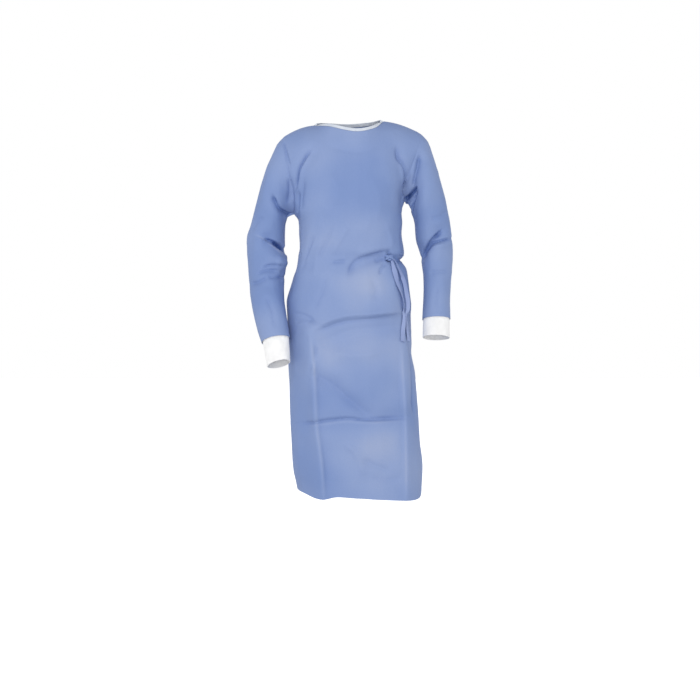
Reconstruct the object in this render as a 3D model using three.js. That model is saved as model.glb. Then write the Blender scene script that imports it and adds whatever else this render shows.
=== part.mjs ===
// A surgical gown as it is worn, filled out with no wearer in it.
// Millimetres, +Z up. The wearer faces -Y, and the wearer's left hand is on +X.
// The origin lies midway between the neck ends of the shoulder seams, where the shoulders carry it.
import * as THREE from "three";

// Driving dimensions
const CLOTH = 1.4; // wall of the nonwoven panels
const SEAM_DRAW = 0.25; // how far each piece is drawn in from the line of its seam
const LAY_GAP = 0.4; // between a piece and the panel that it lies on
const FLAP_LIFT = CLOTH + LAY_GAP; // the outer back panel over the inner one
const BINDING = { base: 0.5, width: 10, thick: 2.4, bevel: 1.4, lap: 3.2 };
const CUFF = { wall: 1.6, rib: 0.7, ribs: 36, tuck: 8, rows: 3 };
const KNOT = { halfWidth: 15, halfDepth: 7, halfHeight: 12, rows: 8, around: 14, crease: 0.14, gap: 1.1 };
const TIE = { wide: 15, lift: 3.2, rows: 16, thick: 1.4 };

// Grid of the panels: the columns of one half of the body, side seam to side seam, and the rows
const SHOULDER_COLUMNS = 6;
const NECK_COLUMNS = 14;
const COLUMNS = 2 * SHOULDER_COLUMNS + NECK_COLUMNS;
const LAP_COLUMNS = 3; // how far each back panel runs past the middle of the back
const UPPER_ROWS = 11;
const SLEEVE_ROWS = 24;
const LOWER_SHARES = [
  0, 0.03, 0.09, 0.15, 0.21, 0.27, 0.33, 0.39, 0.45, 0.51, 0.57, 0.63, 0.69, 0.74, 0.788, 0.802, 0.816,
  0.86, 0.9, 0.95, 1,
];
const LOWER_ROWS = LOWER_SHARES.length - 1;
const ROWS = LOWER_ROWS + UPPER_ROWS;
const BELT_ROWS = [14, 15, 16]; // the rows at the waist that the belt covers
const BELT_START = 20; // the front column under the knot
const BELT_END = 12; // the back column where the belt is sewn to the outer flap

const FRONT = -1;
const BACK = 1;

// A table's rows as objects with named columns.
function rows(columns, lists) {
  return lists.map((list) => Object.fromEntries(columns.map((name, i) => [name, list[i]])));
}

// Body sections from the hem up to the underarm: the sides of the outline as seen from the front,
// its reach towards -Y and +Y, and how blunt its corners are (2 is an ellipse).
const BODY = rows(
  ["z", "left", "right", "front", "back", "blunt"],
  [
    [-1130, -154, 208, 150, 128, 2.7],
    [-1095, -159, 210, 149, 128, 2.7],
    [-1023, -174, 213, 147, 127, 2.7],
    [-951, -180, 206, 145, 126, 2.65],
    [-861, -183, 201, 142, 126, 2.6],
    [-753, -186, 192, 139, 128, 2.55],
    [-681, -189, 184, 136, 132, 2.5],
    [-591, -192, 180, 131, 135, 2.4],
    [-530, -191, 177, 127, 131, 2.4],
    [-465, -175, 170, 118, 112, 2.35],
    [-438, -164, 164, 113, 101, 2.3],
    [-411, -159, 147, 108, 94, 2.3],
    [-392, -158, 158, 111, 95, 2.3],
    [-339, -156, 151, 118, 99, 2.3],
    [-300, -157, 152, 121, 103, 2.3],
    [-270, -172, 150, 121, 106, 2.3],
    [-236, -176, 159, 119, 107, 2.3],
    [-200, -176, 162, 116, 106, 2.3],
  ],
);

// Height of the hem, by the angle round the body: -180 and 180 are the wearer's right side, -90 the front.
const HEM = rows(
  ["angle", "z"],
  [
    [-180, -1092],
    [-150, -1101],
    [-119, -1115],
    [-104, -1108],
    [-80, -1115],
    [-40, -1120],
    [-15, -1115],
    [0, -1103],
    [90, -1105],
    [180, -1092],
  ],
);

// The neck edge, from the wearer's right neck point to the left one along the front, and back along the back.
const NECK_FRONT = rows(
  ["share", "x", "y", "z"],
  [
    [0, -114, 12, -5],
    [0.26, -63, -47, -19],
    [0.45, -12, -69, -33],
    [0.55, 18, -73, -37],
    [0.66, 48, -67, -33],
    [0.79, 75, -42, -21],
    [1, 99, 12, 4],
  ],
);
const NECK_BACK = rows(
  ["share", "x", "y", "z"],
  [
    [0, 99, 12, 4],
    [0.24, 60, 62, 2],
    [0.5, -6, 76, -2],
    [0.76, -72, 62, -1],
    [1, -114, 12, -5],
  ],
);

// How the cloth leaves the underarm level and arrives at the shoulder, by the share of the way across:
// inwards, outwards from the body and upwards, in millimetres of pull. The last row mirrors one across the
// middle, so that the cloth crosses the middle with no crease.
const PULL_COLUMNS = ["share", "lowIn", "lowOut", "lowUp", "highIn", "highOut", "highUp"];
const FRONT_PULL = rows(PULL_COLUMNS, [
  [0, 16, 200, 90, -16, -228, 80],
  [0.04, 14, 175, 110, -12, -242, 76],
  [0.08, 12, 145, 135, -8, -256, 72],
  [0.15, 8, 95, 180, 0, -282, 66],
  [0.23, 4, 50, 215, 0, -311, 72],
  [0.27, 2, 38, 220, 0, -235, 90],
  [0.31, 0, 28, 225, 0, -179, 110],
  [0.385, 0, 14, 228, 0, -108, 160],
  [0.5, 0, 8, 225, 0, -63, 200],
  [0.615, 0, 14, 228, 0, -108, 160],
]);
const BACK_PULL = rows(PULL_COLUMNS, [
  [0, 16, 215, 90, -16, -245, 80],
  [0.04, 14, 185, 110, -12, -246, 76],
  [0.08, 12, 155, 135, -8, -248, 72],
  [0.15, 8, 105, 180, 0, -254, 66],
  [0.23, 4, 60, 220, 0, -265, 80],
  [0.27, 2, 48, 228, 0, -198, 100],
  [0.31, 0, 38, 236, 0, -140, 125],
  [0.385, 0, 24, 250, 0, -78, 180],
  [0.5, 0, 15, 260, 0, -61, 230],
  [0.615, 0, 24, 250, 0, -78, 180],
]);

// One arm: the shoulder and underarm ends of its armhole, then sections by their outer and inner points
// as seen from the front, the middle's place in Y, half the depth, and the forward tilt in degrees.
const SECTION_COLUMNS = ["at", "outX", "outZ", "inX", "inZ", "y", "depth", "tilt"];
const RIGHT_ARM = {
  side: -1,
  shoulder: new THREE.Vector3(-206, 6, -44),
  neck: new THREE.Vector3(-114, 12, -5),
  underarmZ: -275,
  sections: rows(SECTION_COLUMNS, [
    [0, -206, -44, -172, -275, 3, 66, 0],
    [0.05, -223, -66, -185, -278, 3, 67, 0],
    [0.18, -259, -147, -194, -292, 4, 70, 0],
    [0.42, -301, -297, -199, -318, 12, 60, -2],
    [0.505, -314, -348, -200, -354, 14, 58, 2],
    [0.62, -308, -423, -196, -420, 2, 56, 10],
    [0.8, -294, -540, -199, -530, -42, 52, 17],
    [0.93, -276, -621, -186, -606, -76, 47, 18],
    [1, -262, -660, -179, -646, -92, 43, 18],
  ]),
  cuffEnd: { outX: -243, outZ: -729, inX: -178, inZ: -714, y: -116, depth: 35, tilt: 18 },
  cuffInset: 3.4,
};
const LEFT_ARM = {
  side: 1,
  shoulder: new THREE.Vector3(213, 6, -36),
  neck: new THREE.Vector3(99, 12, 4),
  underarmZ: -236,
  sections: rows(SECTION_COLUMNS, [
    [0, 213, -36, 159, -236, 3, 66, 0],
    [0.05, 229, -57, 171, -239, 3, 67, 0],
    [0.17, 256, -123, 177, -256, 4, 70, 0],
    [0.437, 292, -270, 192, -297, 10, 58, -2],
    [0.586, 304, -354, 197, -354, 13, 56, 0],
    [0.67, 306, -402, 210, -399, 10, 52, 5],
    [0.75, 303, -447, 215, -444, 4, 50, 9],
    [0.877, 297, -519, 216, -518, -10, 47, 11],
    [1, 296, -589, 213, -590, -24, 44, 11],
  ]),
  cuffEnd: { outX: 292, outZ: -645, inX: 214, inZ: -643, y: -36, depth: 40, tilt: 11 },
  cuffInset: 2.7,
};
const SHOULDER_BOW = 7; // rise of a shoulder seam's middle over its chord

// The largest folds, each a soft ridge, or a trough where its height is under 0, between two points of the
// front or the back.
const FOLD_COLUMNS = ["side", "x0", "z0", "x1", "z1", "height", "width"];
const FOLDS = rows(FOLD_COLUMNS, [
  [FRONT, -113, -641, -78, -1125, 10, 24],
  [FRONT, -64, -980, -50, -1125, -6, 18],
  [FRONT, 155, -670, 161, -1127, 8, 22],
  [FRONT, -114, -624, 112, -577, 5, 17],
  [FRONT, -68, -661, 131, -614, -8, 20],
  [FRONT, -105, -759, 43, -866, -6, 17],
  [FRONT, -116, -898, 155, -877, -6, 16],
  [FRONT, 97, -397, 3, -438, -7, 15],
  [FRONT, -110, -309, -147, -445, 5, 18],
  [FRONT, -68, -437, -90, -563, 3, 20],
  [FRONT, -119, -103, -163, -215, -8, 17],
  [FRONT, 136, -93, 160, -215, -8, 17],
  [FRONT, -226, -237, -188, -282, -8, 15],
  [FRONT, -247, -359, -198, -385, -12, 16],
  [FRONT, -237, -411, -194, -425, 7, 16],
  [FRONT, -229, -449, -197, -459, -9, 15],
  [FRONT, -285, -484, -203, -493, -5, 16],
  [FRONT, 200, -119, 172, -232, -10, 15],
  [FRONT, 205, -196, 180, -273, -7, 15],
  [FRONT, 264, -332, 212, -403, -10, 15],
  [FRONT, 287, -353, 220, -411, 5, 16],
  [BACK, -95, -110, -150, -215, -8, 20],
  [BACK, 100, -105, 140, -200, -8, 20],
  [BACK, -60, -390, -140, -450, -8, 18],
  [BACK, 120, -440, 40, -490, -7, 18],
  [BACK, -110, -560, -96, -1110, 10, 28],
  [BACK, 118, -560, 130, -1110, 10, 28],
  [BACK, -40, -640, -20, -1110, -8, 28],
  [BACK, -225, -225, -188, -280, -7, 17],
  [BACK, -300, -372, -230, -402, -8, 17],
  [BACK, -290, -440, -220, -462, -6, 17],
  [BACK, 215, -200, 180, -262, -7, 17],
  [BACK, 290, -370, 225, -400, -8, 17],
  [BACK, 285, -440, 230, -456, -5, 17],
]);

// The hanging ends of the tie: the places that they pass on the front of the skirt.
const TIE_COLUMNS = ["x", "z", "raise"];
const TIE_ENDS = {
  tie_end_inner: rows(TIE_COLUMNS, [
    [119, -430, 5.5],
    [133, -448, 2],
    [146, -472, 0],
    [154, -510, 0],
    [157, -550, 0.7],
    [156, -590, 0.7],
    [154, -625, 0],
    [152, -657, 0],
  ]),
  tie_end_outer: rows(TIE_COLUMNS, [
    [121, -429.2, 8.2],
    [144, -448, 5.4],
    [158, -472, 3.6],
    [166, -512, 2.6],
    [170, -555, 2.2],
    [172, -600, 2.0],
    [172, -654, 2.0],
  ]),
};

const GOWN_BLUE = new THREE.Color(0x8b9dc9);
const KNIT_WHITE = new THREE.Color(0xf3f3f4);
const BINDING_WHITE = new THREE.Color(0xd8deec);

function mix(a, b, t) {
  return a + (b - a) * t;
}

function smoothStep(from, to, x) {
  const t = Math.min(1, Math.max(0, (x - from) / (to - from)));
  return t * t * (3 - 2 * t);
}

// A smooth curve through one column of a table, read at any value of its key column.
function curve(table, key, column) {
  const at = table.map((row) => row[key]);
  const value = table.map((row) => row[column]);
  const last = at.length - 1;
  const slope = value.map((_, i) => {
    const a = Math.max(0, i - 1);
    const b = Math.min(last, i + 1);
    return (value[b] - value[a]) / (at[b] - at[a]);
  });
  return (x) => {
    const inside = Math.min(at[last], Math.max(at[0], x));
    let i = 0;
    while (i < last - 1 && inside > at[i + 1]) i += 1;
    const span = at[i + 1] - at[i];
    const t = (inside - at[i]) / span;
    const rise = (value[i + 1] - value[i]) * t * t * (3 - 2 * t);
    const bend = span * t * (1 - t) * (slope[i] * (1 - t) - slope[i + 1] * t);
    return value[i] + rise + bend;
  };
}

// All the columns of a table but its key, as curves.
function curves(table, key) {
  const names = Object.keys(table[0]).filter((name) => name !== key);
  return Object.fromEntries(names.map((name) => [name, curve(table, key, name)]));
}

const bodyAt = curves(BODY, "z");
const hemAt = curve(HEM, "angle", "z");
const neckAt = { [FRONT]: curves(NECK_FRONT, "share"), [BACK]: curves(NECK_BACK, "share") };
const pullAt = { [FRONT]: curves(FRONT_PULL, "share"), [BACK]: curves(BACK_PULL, "share") };

// The angle of a column: the front runs from -180 to 0 degrees, the back on from 0 to 180.
function columnAngle(half, column) {
  const turn = (180 * column) / COLUMNS;
  return half === FRONT ? turn - 180 : turn;
}

function bodyPoint(angle, z) {
  const c = Math.cos(THREE.MathUtils.degToRad(angle));
  const s = Math.sin(THREE.MathUtils.degToRad(angle));
  const power = 2 / bodyAt.blunt(z);
  const left = bodyAt.left(z);
  const right = bodyAt.right(z);
  const reach = s < 0 ? bodyAt.front(z) : bodyAt.back(z);
  const x = (left + right) / 2 + ((right - left) / 2) * Math.sign(c) * Math.abs(c) ** power;
  const y = Math.sign(s) * reach * Math.abs(s) ** power;
  return new THREE.Vector3(x, y, z);
}

// Height of a row between the hem and the underarm, which slants from one armhole to the other.
function lowerZ(angle, share) {
  const across = (1 + Math.cos(THREE.MathUtils.degToRad(angle))) / 2;
  const underarm = mix(RIGHT_ARM.underarmZ, LEFT_ARM.underarmZ, across);
  return mix(hemAt(angle), underarm, share);
}

function shoulderPoint(arm, share) {
  const point = arm.shoulder.clone().lerp(arm.neck, share);
  point.z += SHOULDER_BOW * 4 * share * (1 - share);
  return point;
}

// The top edge of a half: shoulder seam, neck edge, shoulder seam.
function topPoint(half, column) {
  const [first, second] = half === FRONT ? [RIGHT_ARM, LEFT_ARM] : [LEFT_ARM, RIGHT_ARM];
  if (column <= SHOULDER_COLUMNS) return shoulderPoint(first, column / SHOULDER_COLUMNS);
  const left = COLUMNS - column;
  if (left <= SHOULDER_COLUMNS) return shoulderPoint(second, left / SHOULDER_COLUMNS);
  const share = (column - SHOULDER_COLUMNS) / NECK_COLUMNS;
  const neck = neckAt[half];
  return new THREE.Vector3(neck.x(share), neck.y(share), neck.z(share));
}

// A point of the chest or the upper back, which rises from the underarm level to the top edge.
function upperPoint(half, column, share) {
  const angle = columnAngle(half, column);
  const low = bodyPoint(angle, lowerZ(angle, 1));
  const high = topPoint(half, column);
  const across = column / COLUMNS;
  const pull = pullAt[half];
  const near = Math.min(across, 1 - across);
  const inwards = (across < 0.5 ? 1 : -1) * -half;
  const pullBy = (end) =>
    new THREE.Vector3(
      inwards * pull[`${end}In`](near),
      half * pull[`${end}Out`](near),
      pull[`${end}Up`](near),
    );
  const rest = 1 - share;
  return low
    .multiplyScalar(rest * rest * (1 + 2 * share))
    .addScaledVector(high, share * share * (3 - 2 * share))
    .addScaledVector(pullBy("low"), share * rest * rest)
    .addScaledVector(pullBy("high"), -share * share * rest);
}

function halfPoint(half, column, row) {
  if (row > LOWER_ROWS) return upperPoint(half, column, (row - LOWER_ROWS) / UPPER_ROWS);
  const angle = columnAngle(half, column);
  return bodyPoint(angle, lowerZ(angle, LOWER_SHARES[row]));
}

// The armhole seam, round from the shoulder down the front edge and up the back edge.
function armholePoint(arm, step) {
  if (step <= UPPER_ROWS) return halfPoint(FRONT, arm.side < 0 ? 0 : COLUMNS, ROWS - step);
  return halfPoint(BACK, arm.side < 0 ? COLUMNS : 0, LOWER_ROWS + step - UPPER_ROWS);
}

// An oval across an arm: turn 0 is its outer point, 90 degrees its front.
function ovalPoint(section, turn, shrink = 0) {
  const across = new THREE.Vector3(section.outX - section.inX, 0, section.outZ - section.inZ);
  const middle = new THREE.Vector3(section.outX + section.inX, 2 * section.y, section.outZ + section.inZ);
  const tilt = THREE.MathUtils.degToRad(section.tilt);
  const forward = new THREE.Vector3(0, -Math.cos(tilt), Math.sin(tilt));
  const half = across.length() / 2 - shrink;
  return middle
    .multiplyScalar(0.5)
    .addScaledVector(across.normalize(), half * Math.cos(turn))
    .addScaledVector(forward, (section.depth - shrink) * Math.sin(turn));
}

const SLEEVE_AROUND = 2 * UPPER_ROWS;
const CAP_SHARE = 0.3; // the length of sleeve over which the armhole's shape turns into an oval

function sleevePoint(arm, sectionAt, step, row) {
  const share = row / SLEEVE_ROWS;
  const section = Object.fromEntries(Object.entries(sectionAt).map(([name, at]) => [name, at(share)]));
  const turn = (2 * Math.PI * step) / SLEEVE_AROUND;
  const offSeam = armholePoint(arm, step).sub(ovalPoint(arm.sections[0], turn));
  return ovalPoint(section, turn).addScaledVector(offSeam, 1 - smoothStep(0, CAP_SHARE, share));
}

// A grid of points, row by row. A closed grid joins its last column to its first.
function makeGrid(rowCount, columnCount, closed, pointAt) {
  const points = Array.from({ length: rowCount + 1 }, (_, row) =>
    Array.from({ length: closed ? columnCount : columnCount + 1 }, (_, column) => pointAt(column, row)),
  );
  return { points, closed };
}

function neighbours(grid, row, column) {
  const { points, closed } = grid;
  const width = points[0].length;
  const before = closed ? (column + width - 1) % width : Math.max(0, column - 1);
  const after = closed ? (column + 1) % width : Math.min(width - 1, column + 1);
  const below = Math.max(0, row - 1);
  const above = Math.min(points.length - 1, row + 1);
  return {
    across: points[row][after].clone().sub(points[row][before]),
    along: points[above][column].clone().sub(points[below][column]),
  };
}

const SAME_POINT = 0.02; // points of two panels this near each other share their normal
function keyOf(point) {
  return point.toArray().map((x) => Math.round(x / SAME_POINT)).join();
}

// Outward normals of several grids, shared where the grids meet at a seam.
function sharedNormals(grids) {
  const sums = new Map();
  const each = (visit) =>
    grids.forEach((grid) =>
      grid.points.forEach((list, row) => list.forEach((point, column) => visit(grid, row, column, point))),
    );
  each((grid, row, column, point) => {
    const { across, along } = neighbours(grid, row, column);
    const normal = across.cross(along).normalize();
    const key = keyOf(point);
    sums.set(key, (sums.get(key) ?? new THREE.Vector3()).add(normal));
  });
  return grids.map((grid) =>
    grid.points.map((list) => list.map((point) => sums.get(keyOf(point)).clone().normalize())),
  );
}

function foldHeight(point, normal) {
  let height = 0;
  for (const fold of FOLDS) {
    const dx = fold.x1 - fold.x0;
    const dz = fold.z1 - fold.z0;
    const along = ((point.x - fold.x0) * dx + (point.z - fold.z0) * dz) / (dx * dx + dz * dz);
    const t = Math.min(1, Math.max(0, along));
    const away = Math.hypot(point.x - fold.x0 - t * dx, point.z - fold.z0 - t * dz) / fold.width;
    const facing = smoothStep(0, 0.45, fold.side * normal.y);
    height += fold.height * facing * Math.exp(-away * away);
  }
  return height;
}

function addFolds(grids) {
  const normals = sharedNormals(grids);
  grids.forEach((grid, i) =>
    grid.points.forEach((list, row) =>
      list.forEach((point, column) => {
        const normal = normals[i][row][column];
        point.addScaledVector(normal, foldHeight(point, normal));
      }),
    ),
  );
}

// The same grid with the named edges drawn in from the lines of their seams.
function drawnIn(grid, edges) {
  const points = grid.points.map((list) => list.map((point) => point.clone()));
  const top = points.length - 1;
  const end = points[0].length - 1;
  const step = (from, to) => from.addScaledVector(to.clone().sub(from).normalize(), SEAM_DRAW);
  if (edges.first) points.forEach((list) => step(list[0], list[1]));
  if (edges.last) points.forEach((list) => step(list[end], list[end - 1]));
  if (edges.bottom) points[0].forEach((point, i) => step(point, points[1][i]));
  if (edges.top) points[top].forEach((point, i) => step(point, points[top - 1][i]));
  return { points, closed: grid.closed };
}

// A closed solid between two grids of points: the outer one faces out, the inner one in.
function wallBetween(outer, inner, closed) {
  const height = outer.length;
  const width = outer[0].length;
  const cells = closed ? width : width - 1;
  const position = [...outer.flat(), ...inner.flat()].flatMap((point) => point.toArray());
  const offset = height * width;
  const index = [];
  const quad = (a, b, c, d) => index.push(a, b, c, a, c, d);
  const at = (row, column) => row * width + (column % width);
  for (let row = 0; row < height - 1; row += 1) {
    for (let column = 0; column < cells; column += 1) {
      const a = at(row, column);
      const b = at(row, column + 1);
      const c = at(row + 1, column + 1);
      const d = at(row + 1, column);
      quad(a, b, c, d);
      index.push(offset + a, offset + c, offset + b, offset + a, offset + d, offset + c);
    }
  }
  for (let column = 0; column < cells; column += 1) {
    const [a, b] = [at(0, column), at(0, column + 1)];
    const [c, d] = [at(height - 1, column), at(height - 1, column + 1)];
    quad(offset + a, offset + b, b, a);
    quad(c, d, offset + d, offset + c);
  }
  for (let row = 0; row < height - 1 && !closed; row += 1) {
    const [a, b] = [at(row, 0), at(row + 1, 0)];
    const [c, d] = [at(row, width - 1), at(row + 1, width - 1)];
    quad(offset + a, a, b, offset + b);
    quad(c, offset + c, offset + d, d);
  }
  const geometry = new THREE.BufferGeometry();
  geometry.setAttribute("position", new THREE.Float32BufferAttribute(position, 3));
  geometry.setIndex(index);
  geometry.computeVertexNormals();
  return geometry;
}

function moved(points, normals, distance) {
  return points.map((list, row) =>
    list.map((point, column) => point.clone().addScaledVector(normals[row][column], distance)),
  );
}

function clothWall(grid, normals, thickness = CLOTH) {
  const outer = moved(grid.points, normals, thickness / 2);
  const inner = moved(grid.points, normals, -thickness / 2);
  return wallBetween(outer, inner, grid.closed);
}

// The panels' middle surfaces, which meet at the seams
const frontGrid = makeGrid(ROWS, COLUMNS, false, (column, row) => halfPoint(FRONT, column, row));
const backGrid = makeGrid(ROWS, COLUMNS, false, (column, row) => halfPoint(BACK, column, row));
function sleeveGrid(arm) {
  const sectionAt = curves(arm.sections, "at");
  // Steps run front first on the wearer's left arm and back first on the right, so that both face outwards.
  const stepOf = (column) => (arm.side > 0 || column === 0 ? column : SLEEVE_AROUND - column);
  return makeGrid(SLEEVE_ROWS, SLEEVE_AROUND, true, (column, row) =>
    sleevePoint(arm, sectionAt, stepOf(column), row),
  );
}
const rightSleeveGrid = sleeveGrid(RIGHT_ARM);
const leftSleeveGrid = sleeveGrid(LEFT_ARM);
const grids = [frontGrid, backGrid, rightSleeveGrid, leftSleeveGrid];
addFolds(grids);
const [frontNormals, backNormals, rightSleeveNormals, leftSleeveNormals] = sharedNormals(grids);

const gown = new THREE.Group();
function addPiece(name, geometry, colour, roughness) {
  const material = new THREE.MeshStandardMaterial({ color: colour, roughness, metalness: 0 });
  const mesh = new THREE.Mesh(geometry, material);
  mesh.name = name;
  gown.add(mesh);
}

// Front panel
const allSeams = { first: true, last: true, top: true };
addPiece("front", clothWall(drawnIn(frontGrid, allSeams), frontNormals), GOWN_BLUE, 0.8);

// Back panels, which lap at the middle of the back: the wearer's right one lies outside.
const middle = COLUMNS / 2;
const lapEnd = middle + LAP_COLUMNS;
const lapStart = middle - LAP_COLUMNS;
const LAP_EASE = 3; // columns over which the outer panel comes down to the body again
function columnsOf(lists, from, to) {
  return lists.map((list) => list.slice(from, to + 1));
}
function liftedBack() {
  return backGrid.points.map((list, row) =>
    list.map((point, column) => {
      const lift = FLAP_LIFT * (1 - smoothStep(lapEnd + 0.5, lapEnd + LAP_EASE, column));
      return point.clone().addScaledVector(backNormals[row][column], lift);
    }),
  );
}
const innerBack = { points: columnsOf(backGrid.points, 0, lapEnd), closed: false };
const outerBack = { points: columnsOf(liftedBack(), lapStart, COLUMNS), closed: false };
addPiece(
  "back_left",
  clothWall(drawnIn(innerBack, { first: true, top: true }), columnsOf(backNormals, 0, lapEnd)),
  GOWN_BLUE,
  0.8,
);
addPiece(
  "back_right",
  clothWall(drawnIn(outerBack, { last: true, top: true }), columnsOf(backNormals, lapStart, COLUMNS)),
  GOWN_BLUE,
  0.8,
);

// Sleeves
const sleeveSeam = { bottom: true };
addPiece("sleeve_right", clothWall(drawnIn(rightSleeveGrid, sleeveSeam), rightSleeveNormals), GOWN_BLUE, 0.8);
addPiece("sleeve_left", clothWall(drawnIn(leftSleeveGrid, sleeveSeam), leftSleeveNormals), GOWN_BLUE, 0.8);

// Knitted cuffs: a ribbed tube whose upper end is tucked into the sleeve
function cuffGeometry(arm) {
  const wrist = arm.sections.at(-1);
  const end = arm.cuffEnd;
  const reach = Math.hypot(end.outX - wrist.outX, end.outZ - wrist.outZ);
  const around = 2 * CUFF.ribs;
  const ring = (share, isOuter) =>
    Array.from({ length: around }, (_, i) => {
      const t = mix(-CUFF.tuck / reach, 1, share);
      const names = Object.keys(end);
      const section = Object.fromEntries(names.map((name) => [name, mix(wrist[name], end[name], t)]));
      const turn = (arm.side * 2 * Math.PI * i) / around;
      const inset = arm.cuffInset * (1 - smoothStep(0, 1, t));
      const rib = i % 2 ? 0 : CUFF.rib;
      return ovalPoint(section, turn, inset + (isOuter ? -rib : CUFF.wall));
    });
  const shares = Array.from({ length: CUFF.rows + 1 }, (_, row) => row / CUFF.rows);
  const outer = shares.map((share) => ring(share, true));
  const inner = shares.map((share) => ring(share, false));
  return wallBetween(outer, inner, true);
}
addPiece("cuff_right", cuffGeometry(RIGHT_ARM), KNIT_WHITE, 0.9);
addPiece("cuff_left", cuffGeometry(LEFT_ARM), KNIT_WHITE, 0.9);

// Neck binding: a band that stands on the neck edge, from the inner back panel's end round the front
// to the outer back panel's end, where it laps over itself.
function neckStations() {
  const edge = [];
  const add = (grid, normals, column, lift) => {
    edge.push({ point: grid.points[ROWS][column], out: normals[ROWS][column], lift });
  };
  const neckEnd = COLUMNS - SHOULDER_COLUMNS;
  for (let column = lapEnd; column >= SHOULDER_COLUMNS; column -= 1) {
    add(backGrid, backNormals, column, 0);
  }
  for (let column = neckEnd - 1; column > SHOULDER_COLUMNS; column -= 1) {
    add(frontGrid, frontNormals, column, 0);
  }
  for (let column = neckEnd; column >= lapStart; column -= 1) {
    add(backGrid, backNormals, column, BINDING.lap * (1 - smoothStep(lapEnd, lapEnd + 2, column)));
  }
  return edge.map(({ point, out, lift }, i) => {
    const before = edge[Math.max(0, i - 1)].point;
    const after = edge[Math.min(edge.length - 1, i + 1)].point;
    const along = after.clone().sub(before).normalize();
    const up = along.clone().cross(out).normalize();
    const away = up.clone().cross(along);
    return { edge: point.clone().addScaledVector(away, lift), up, out: away };
  });
}
function bindingGeometry() {
  const half = BINDING.thick / 2;
  const slim = half - BINDING.bevel / 2;
  const section = [
    [BINDING.base, -half],
    [BINDING.base, half],
    [BINDING.width - BINDING.bevel, half],
    [BINDING.width, slim],
    [BINDING.width, -slim],
    [BINDING.width - BINDING.bevel, -half],
  ];
  const rings = neckStations().map(({ edge, up, out }) =>
    section.map(([rise, away]) => edge.clone().addScaledVector(up, rise).addScaledVector(out, away)),
  );
  return sweptSolid(rings);
}

// A solid through rings of points, with flat ends.
function sweptSolid(rings) {
  const around = rings[0].length;
  const position = rings.flat().flatMap((point) => point.toArray());
  const index = [];
  for (let i = 0; i < rings.length - 1; i += 1) {
    for (let j = 0; j < around; j += 1) {
      const a = i * around + j;
      const b = i * around + ((j + 1) % around);
      index.push(a, b, b + around, a, b + around, a + around);
    }
  }
  const last = (rings.length - 1) * around;
  for (let j = 1; j < around - 1; j += 1) {
    index.push(0, j + 1, j);
    index.push(last, last + j, last + j + 1);
  }
  const geometry = new THREE.BufferGeometry();
  geometry.setAttribute("position", new THREE.Float32BufferAttribute(position, 3));
  geometry.setIndex(index);
  geometry.computeVertexNormals();
  return geometry;
}
addPiece("neck_binding", bindingGeometry(), BINDING_WHITE, 0.75);

// Belt: a strip over the waist rows, from the knot round the wearer's left side to the outer flap
const BELT_OUT = CLOTH + LAY_GAP;
const BELT_CLIMB = 4; // columns over which the belt climbs onto the flap
function beltGrid() {
  const columns = [];
  for (let column = BELT_START; column < COLUMNS; column += 1) {
    columns.push([frontGrid, frontNormals, column, 0]);
  }
  for (let column = 0; column <= BELT_END; column += 1) {
    const climb = FLAP_LIFT * smoothStep(lapStart - BELT_CLIMB, lapStart - 0.5, column);
    columns.push([backGrid, backNormals, column, climb]);
  }
  const normals = BELT_ROWS.map((row) => columns.map(([, normalsOf, column]) => normalsOf[row][column]));
  const points = BELT_ROWS.map((row) =>
    columns.map(([grid, normalsOf, column, climb]) =>
      grid.points[row][column].clone().addScaledVector(normalsOf[row][column], BELT_OUT + climb),
    ),
  );
  return { grid: { points, closed: false }, normals };
}
const belt = beltGrid();
addPiece("belt", clothWall(belt.grid, belt.normals), GOWN_BLUE, 0.8);

// Knot: a flattened lump with two creases round it, on the belt's front end
function knotGeometry() {
  const row = BELT_ROWS[1];
  const out = frontNormals[row][BELT_START];
  const side = new THREE.Vector3(0, 0, 1).cross(out).normalize();
  const up = out.clone().cross(side);
  const standOff = BELT_OUT + CLOTH / 2 + KNOT.gap + KNOT.halfDepth;
  const centre = frontGrid.points[row][BELT_START].clone().addScaledVector(out, standOff);
  const rings = Array.from({ length: KNOT.rows - 1 }, (_, i) => {
    const tilt = (Math.PI * (i + 1)) / KNOT.rows;
    return Array.from({ length: KNOT.around }, (_, j) => {
      const turn = (2 * Math.PI * j) / KNOT.around;
      const swell = 1 - KNOT.crease * Math.abs(Math.sin(turn + tilt)) ** 6;
      return centre
        .clone()
        .addScaledVector(side, KNOT.halfWidth * swell * Math.sin(tilt) * Math.cos(turn))
        .addScaledVector(out, KNOT.halfDepth * Math.sin(tilt) * Math.sin(turn))
        .addScaledVector(up, KNOT.halfHeight * Math.cos(tilt));
    });
  });
  return sweptSolid(rings);
}
addPiece("knot", knotGeometry(), GOWN_BLUE, 0.8);

// The point of the front at a place seen from the front, and the normal there
function onFront(x, z) {
  let best = { away: Infinity };
  const tryFace = (corner, first, second, normal) => {
    const right = first.clone().sub(corner);
    const rise = second.clone().sub(first);
    const area = right.x * rise.z - right.z * rise.x;
    const u = ((x - corner.x) * rise.z - (z - corner.z) * rise.x) / area;
    const v = (right.x * (z - corner.z) - right.z * (x - corner.x)) / area;
    const away = Math.max(0, v - u) + Math.max(0, u - 1) + Math.max(0, -v);
    if (away >= best.away) return;
    best = { away, normal, point: corner.clone().addScaledVector(right, u).addScaledVector(rise, v) };
  };
  for (let row = 0; row < LOWER_ROWS; row += 1) {
    for (let column = middle; column < COLUMNS; column += 1) {
      const [a, b] = frontGrid.points[row].slice(column, column + 2);
      const [d, c] = frontGrid.points[row + 1].slice(column, column + 2);
      const normal = frontNormals[row][column];
      tryFace(a, b, c, normal);
      tryFace(c, d, a, normal);
    }
  }
  return best;
}

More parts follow.
